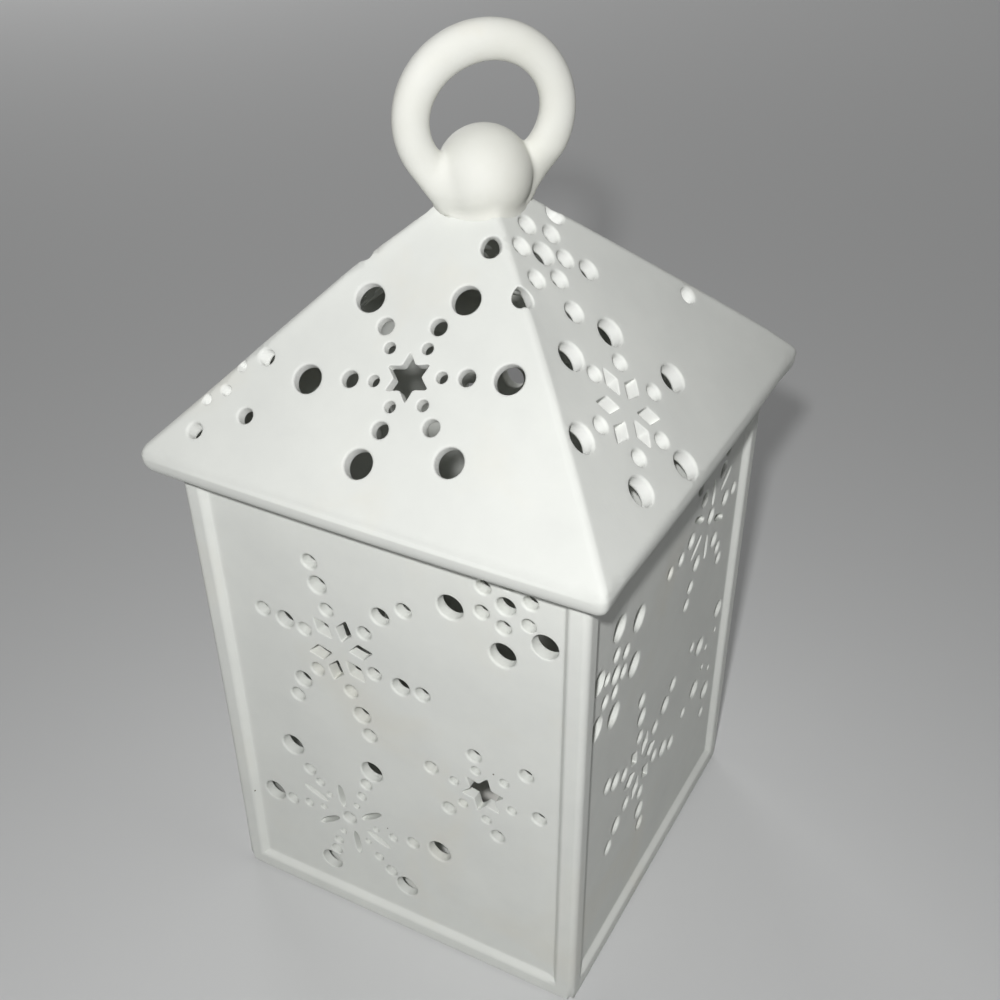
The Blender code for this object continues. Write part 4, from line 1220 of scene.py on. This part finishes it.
def roofShell(shape=roofShape):
    shares = sideShares(shape["sheetEnd"] / slant, shape["eaveGrid"])
    bottom, right, arc, left = roofBorder(shares)
    openings = roofOpenings()
    points, faces, count, rim = piercedSheet(np.vstack([bottom, right, arc, left]), roofInner(shares), openings,
                                             shape["thick"])
    flat, depth = points[:, :2], points[:, 2]
    solid = fold(flat, depth)
    # the innermost rows dive into the ball
    dive = (depth < 0.01) & (np.hypot(*flat.T) < shape["diveWithin"])
    solid[dive] += (np.array([0, 0, roofApex]) - solid[dive]) * shape["dive"]

    # seam: the last slope meets the first, so the right edge takes the left edge's points
    swap = {}
    ringCount, tip = len(bottom) - 1, len(bottom) + len(right)
    for base in (0, count):
        swap[base + ringCount] = base
        for i in range(len(right)):
            swap[base + len(bottom) + i] = base + rim - 1 - i
        swap[base + tip] = base + tip + len(arc) - 1

    # the eave, from the sheet's outer edge round to its inner edge
    profile, crispRows = eaveProfile()
    crisp = np.zeros((4, ringCount // 4))
    crisp[2] = softStep((1 - np.abs(shares[:-1])) * shape["eaveHalf"] / shape["crispRun"])
    parts, total = [solid], len(solid)
    rows = [np.arange(ringCount)]
    for i, (half, z, corner, bow) in enumerate(profile):
        ring = eaveRing(half, z, corner, bow, shares)
        if i < len(crispRows):
            ring += (eaveRing(*crispRows[i], corner, bow, shares) - ring) * crisp.reshape(-1, 1)
        parts.append(ring)
        rows.append(total + np.arange(ringCount))
        total += ringCount
    rows.append(count + np.arange(ringCount))
    for a, b in zip(rows, rows[1:]):
        faces += bridge(a, b)
    # close the tip inside the ball, and the ceiling under it
    for base in (0, count):
        loop = base + tip + np.arange(1, len(arc))
        parts.append(solid[loop].mean(axis=0)[None])
        faces += [(a, b, total) for a, b in zip(loop, np.roll(loop, -1))]
        total += 1
    faces = [tuple(swap.get(i, i) for i in face) for face in faces]
    # painted light on the hole walls, ring by ring, standing in for the light they catch
    cut = np.zeros(total)
    cut[2 * count:len(solid)] = np.concatenate([np.repeat(cutRings, len(o["edge"])) for o in openings])
    return meshPiece("roofShell", np.vstack(parts), faces, bodyBisque, cut), len(openings)


obj, count = roofShell()
dress(obj, "roof", "bisque", *(kind + side for kind in ("roof_", "eave_", "lip_") for side in sideNames))
print("roof done, openings", count, "faces", len(obj.data.polygons))


# tealight

tealightShape = {
    "radius": 19.0, "wall": 0.6, "base": 4.3, "height": 16.0, "sides": 192, "flutes": 48, "fluteDeep": 0.12,
    "waxLow": 6.0, "waxTop": 17.5, "waxSides": 96,
    "wick": 0.9, "wickTop": 23.5, "wickRings": 48, "wickSides": 24,
    "strands": (0.14, 1.6), "lean": 0.009,      # depth and twist of the strands, lean of the free end
}
# each material is one noise: its scale and detail, two colours, roughness and perhaps a bump
tealightLook = {
    "cupAluminium": {"noise": (420.0, 3.0), "dark": (0.74, 0.74, 0.75, 1), "pale": (0.86, 0.86, 0.87, 1),
                     "roughness": (0.24, 0.42), "metallic": 1.0},
    "paraffin": {"noise": (160.0, 4.0), "dark": (0.88, 0.87, 0.81, 1), "pale": (0.93, 0.925, 0.89, 1),
                 "roughness": (0.34, 0.52), "bump": (0.15, 0.0006)},
    "wickCotton": {"noise": (2600.0, 2.0), "dark": (0.72, 0.68, 0.58, 1), "pale": (0.90, 0.88, 0.81, 1),
                   "roughness": 0.9},
}


def mottled(name):
    look = tealightLook[name]
    mat, tree, shader = nodeMaterial(name)
    mottle = noise(tree, *look["noise"])
    feed(tree, shader.inputs["Base Color"], mixColour(tree, mottle, look["dark"], look["pale"]))
    rough = look["roughness"]
    feed(tree, shader.inputs["Roughness"], ramp(tree, mottle, 0.3, 0.7, *rough) if isinstance(rough, tuple) else rough)
    shader.inputs["Metallic"].default_value = look.get("metallic", 0.0)
    if "bump" in look:
        feed(tree, shader.inputs["Normal"], bump(tree, mottle, *look["bump"]))
    return mat


def turnedPiece(name, profile, sides, material, wobble=None):
    # a profile of (radius, height) turned about the axis; wobble gives the radius and lean at a height
    turns = np.arange(sides) * 2 * math.pi / sides
    rings = []
    for radius, z in profile:
        reach, lean = wobble(turns, radius, z) if wobble else (radius, 0.0)
        rings.append(np.c_[reach * np.cos(turns) + lean, reach * np.sin(turns), np.full(sides, z)])
    return meshPiece(name, np.vstack(rings), tubeFaces(len(rings), sides), material)


def tealight(shape=tealightShape):
    base, radius, wall = shape["base"], shape["radius"], shape["wall"]
    top, inner = base + shape["height"], radius - wall
    low, high, thick = shape["waxLow"], shape["waxTop"], shape["wick"]

    def flute(turns, reach, z):
        # the pressed sheet is drawn into shallow flutes, dying out at the rim and the floor
        share = math.sin(math.pi * min(max((z - base) / shape["height"], 0), 1)) if reach > inner - 0.5 else 0
        return reach - shape["fluteDeep"] * share * (0.5 + 0.5 * np.cos(shape["flutes"] * turns)), 0.0

    def twist(turns, reach, z):
        # three strands, leaning over above the wax
        deep, pitch = shape["strands"]
        strand = 1 - deep + deep * np.abs(np.cos(1.5 * (turns - pitch * z)))
        return reach * strand, shape["lean"] * max(z - high, 0) ** 2

    levels = np.linspace(base + 1.0, top - 0.5, 9)
    cup = [(radius - 1.4, base), (radius - 0.5, base + 0.25), (radius - 0.1, base + 0.7)]
    cup += [(radius - 0.05, z) for z in levels]
    cup += [(radius - 0.02, top - 0.2), (radius - 0.15, top), (inner + 0.1, top), (inner, top - 0.2)]
    cup += [(inner, z) for z in levels[::-1]] + [(inner - 0.2, base + 0.9), (inner - 1.0, base + wall)]
    wax = [(inner - 0.35, low), (inner - 0.35, high - 0.1), (inner - 0.8, high - 0.35), (inner - 2.5, high - 0.55),
           (12.0, high - 0.5), (7.0, high - 0.6), (4.0, high - 0.45), (2.4, high - 0.1), (1.6, high + 0.25),
           (thick + 0.05, high + 0.3)]
    wick = [(thick, z) for z in np.linspace(low, shape["wickTop"], shape["wickRings"])]
    aluminium = mottled("cupAluminium")
    dress(turnedPiece("tealightCup", cup, shape["sides"], aluminium, flute),
          "tealight", "cup_aluminium", "tealight_cup")
    dress(turnedPiece("tealightWax", wax, shape["waxSides"], mottled("paraffin")),
          "tealight", "wax", "tealight_wax")
    dress(turnedPiece("tealightWick", wick, shape["wickSides"], mottled("wickCotton"), twist),
          "tealight", "wick_cotton", "wick")
    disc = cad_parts["wick_sustainer"]
    disc.data.materials.clear()
    disc.data.materials.append(aluminium)


tealight()
print("tealight done")


# floor, studio and light

stageLook = {"half": 4.0, "colour": (0.67, 0.675, 0.675, 1), "roughness": 0.9}
# the lamps are aimed at a point above the origin
lightLook = {
    "key": {"azimuth": 25.2, "elevation": 38.2, "distance": 0.44, "size": 0.015, "power": 1.47},
    "back": {"azimuth": 184.0, "elevation": 43.0, "distance": 1.6, "size": 1.3, "power": 3.8},
    "side": {"azimuth": 228.0, "elevation": 10.0, "distance": 2.4, "size": 1.0, "power": 18.0},
}
lightAim = Vector((0, 0, 0.12))
worldStrength = 0.05


def addStage(look):
    mesh = bpy.data.meshes.new("studioFloor")
    corners = [(x * look["half"], y * look["half"], 0) for x, y in ((-1, -1), (1, -1), (1, 1), (-1, 1))]
    mesh.from_pydata(corners, [], [(0, 1, 2, 3)])
    obj = bpy.data.objects.new("studioFloor", mesh)
    mat, _, shader = nodeMaterial("studioFloor")
    shader.inputs["Base Color"].default_value = look["colour"]
    shader.inputs["Roughness"].default_value = look["roughness"]
    mesh.materials.append(mat)
    scene.collection.objects.link(obj)


def addLight(name, look):
    data = bpy.data.lights.new(name, "AREA")
    data.energy = look["power"]
    data.size = look["size"]
    obj = bpy.data.objects.new(name, data)
    a, e = math.radians(look["azimuth"]), math.radians(look["elevation"])
    toward = Vector((math.sin(a) * math.cos(e), -math.cos(a) * math.cos(e), math.sin(e)))
    obj.location = lightAim + toward * look["distance"]
    obj.rotation_euler = toward.to_track_quat("Z", "Y").to_euler()
    scene.collection.objects.link(obj)


def addWorld(strength):
    world = bpy.data.worlds.new("studio")
    world.use_nodes = True
    back = world.node_tree.nodes["Background"]
    back.inputs["Color"].default_value = (1.0, 1.0, 1.0, 1)
    back.inputs["Strength"].default_value = strength
    scene.world = world


addStage(stageLook)
for name, look in lightLook.items():
    addLight(name, look)
addWorld(worldStrength)
scene.view_settings.view_transform = "Standard"
print("studio ready")
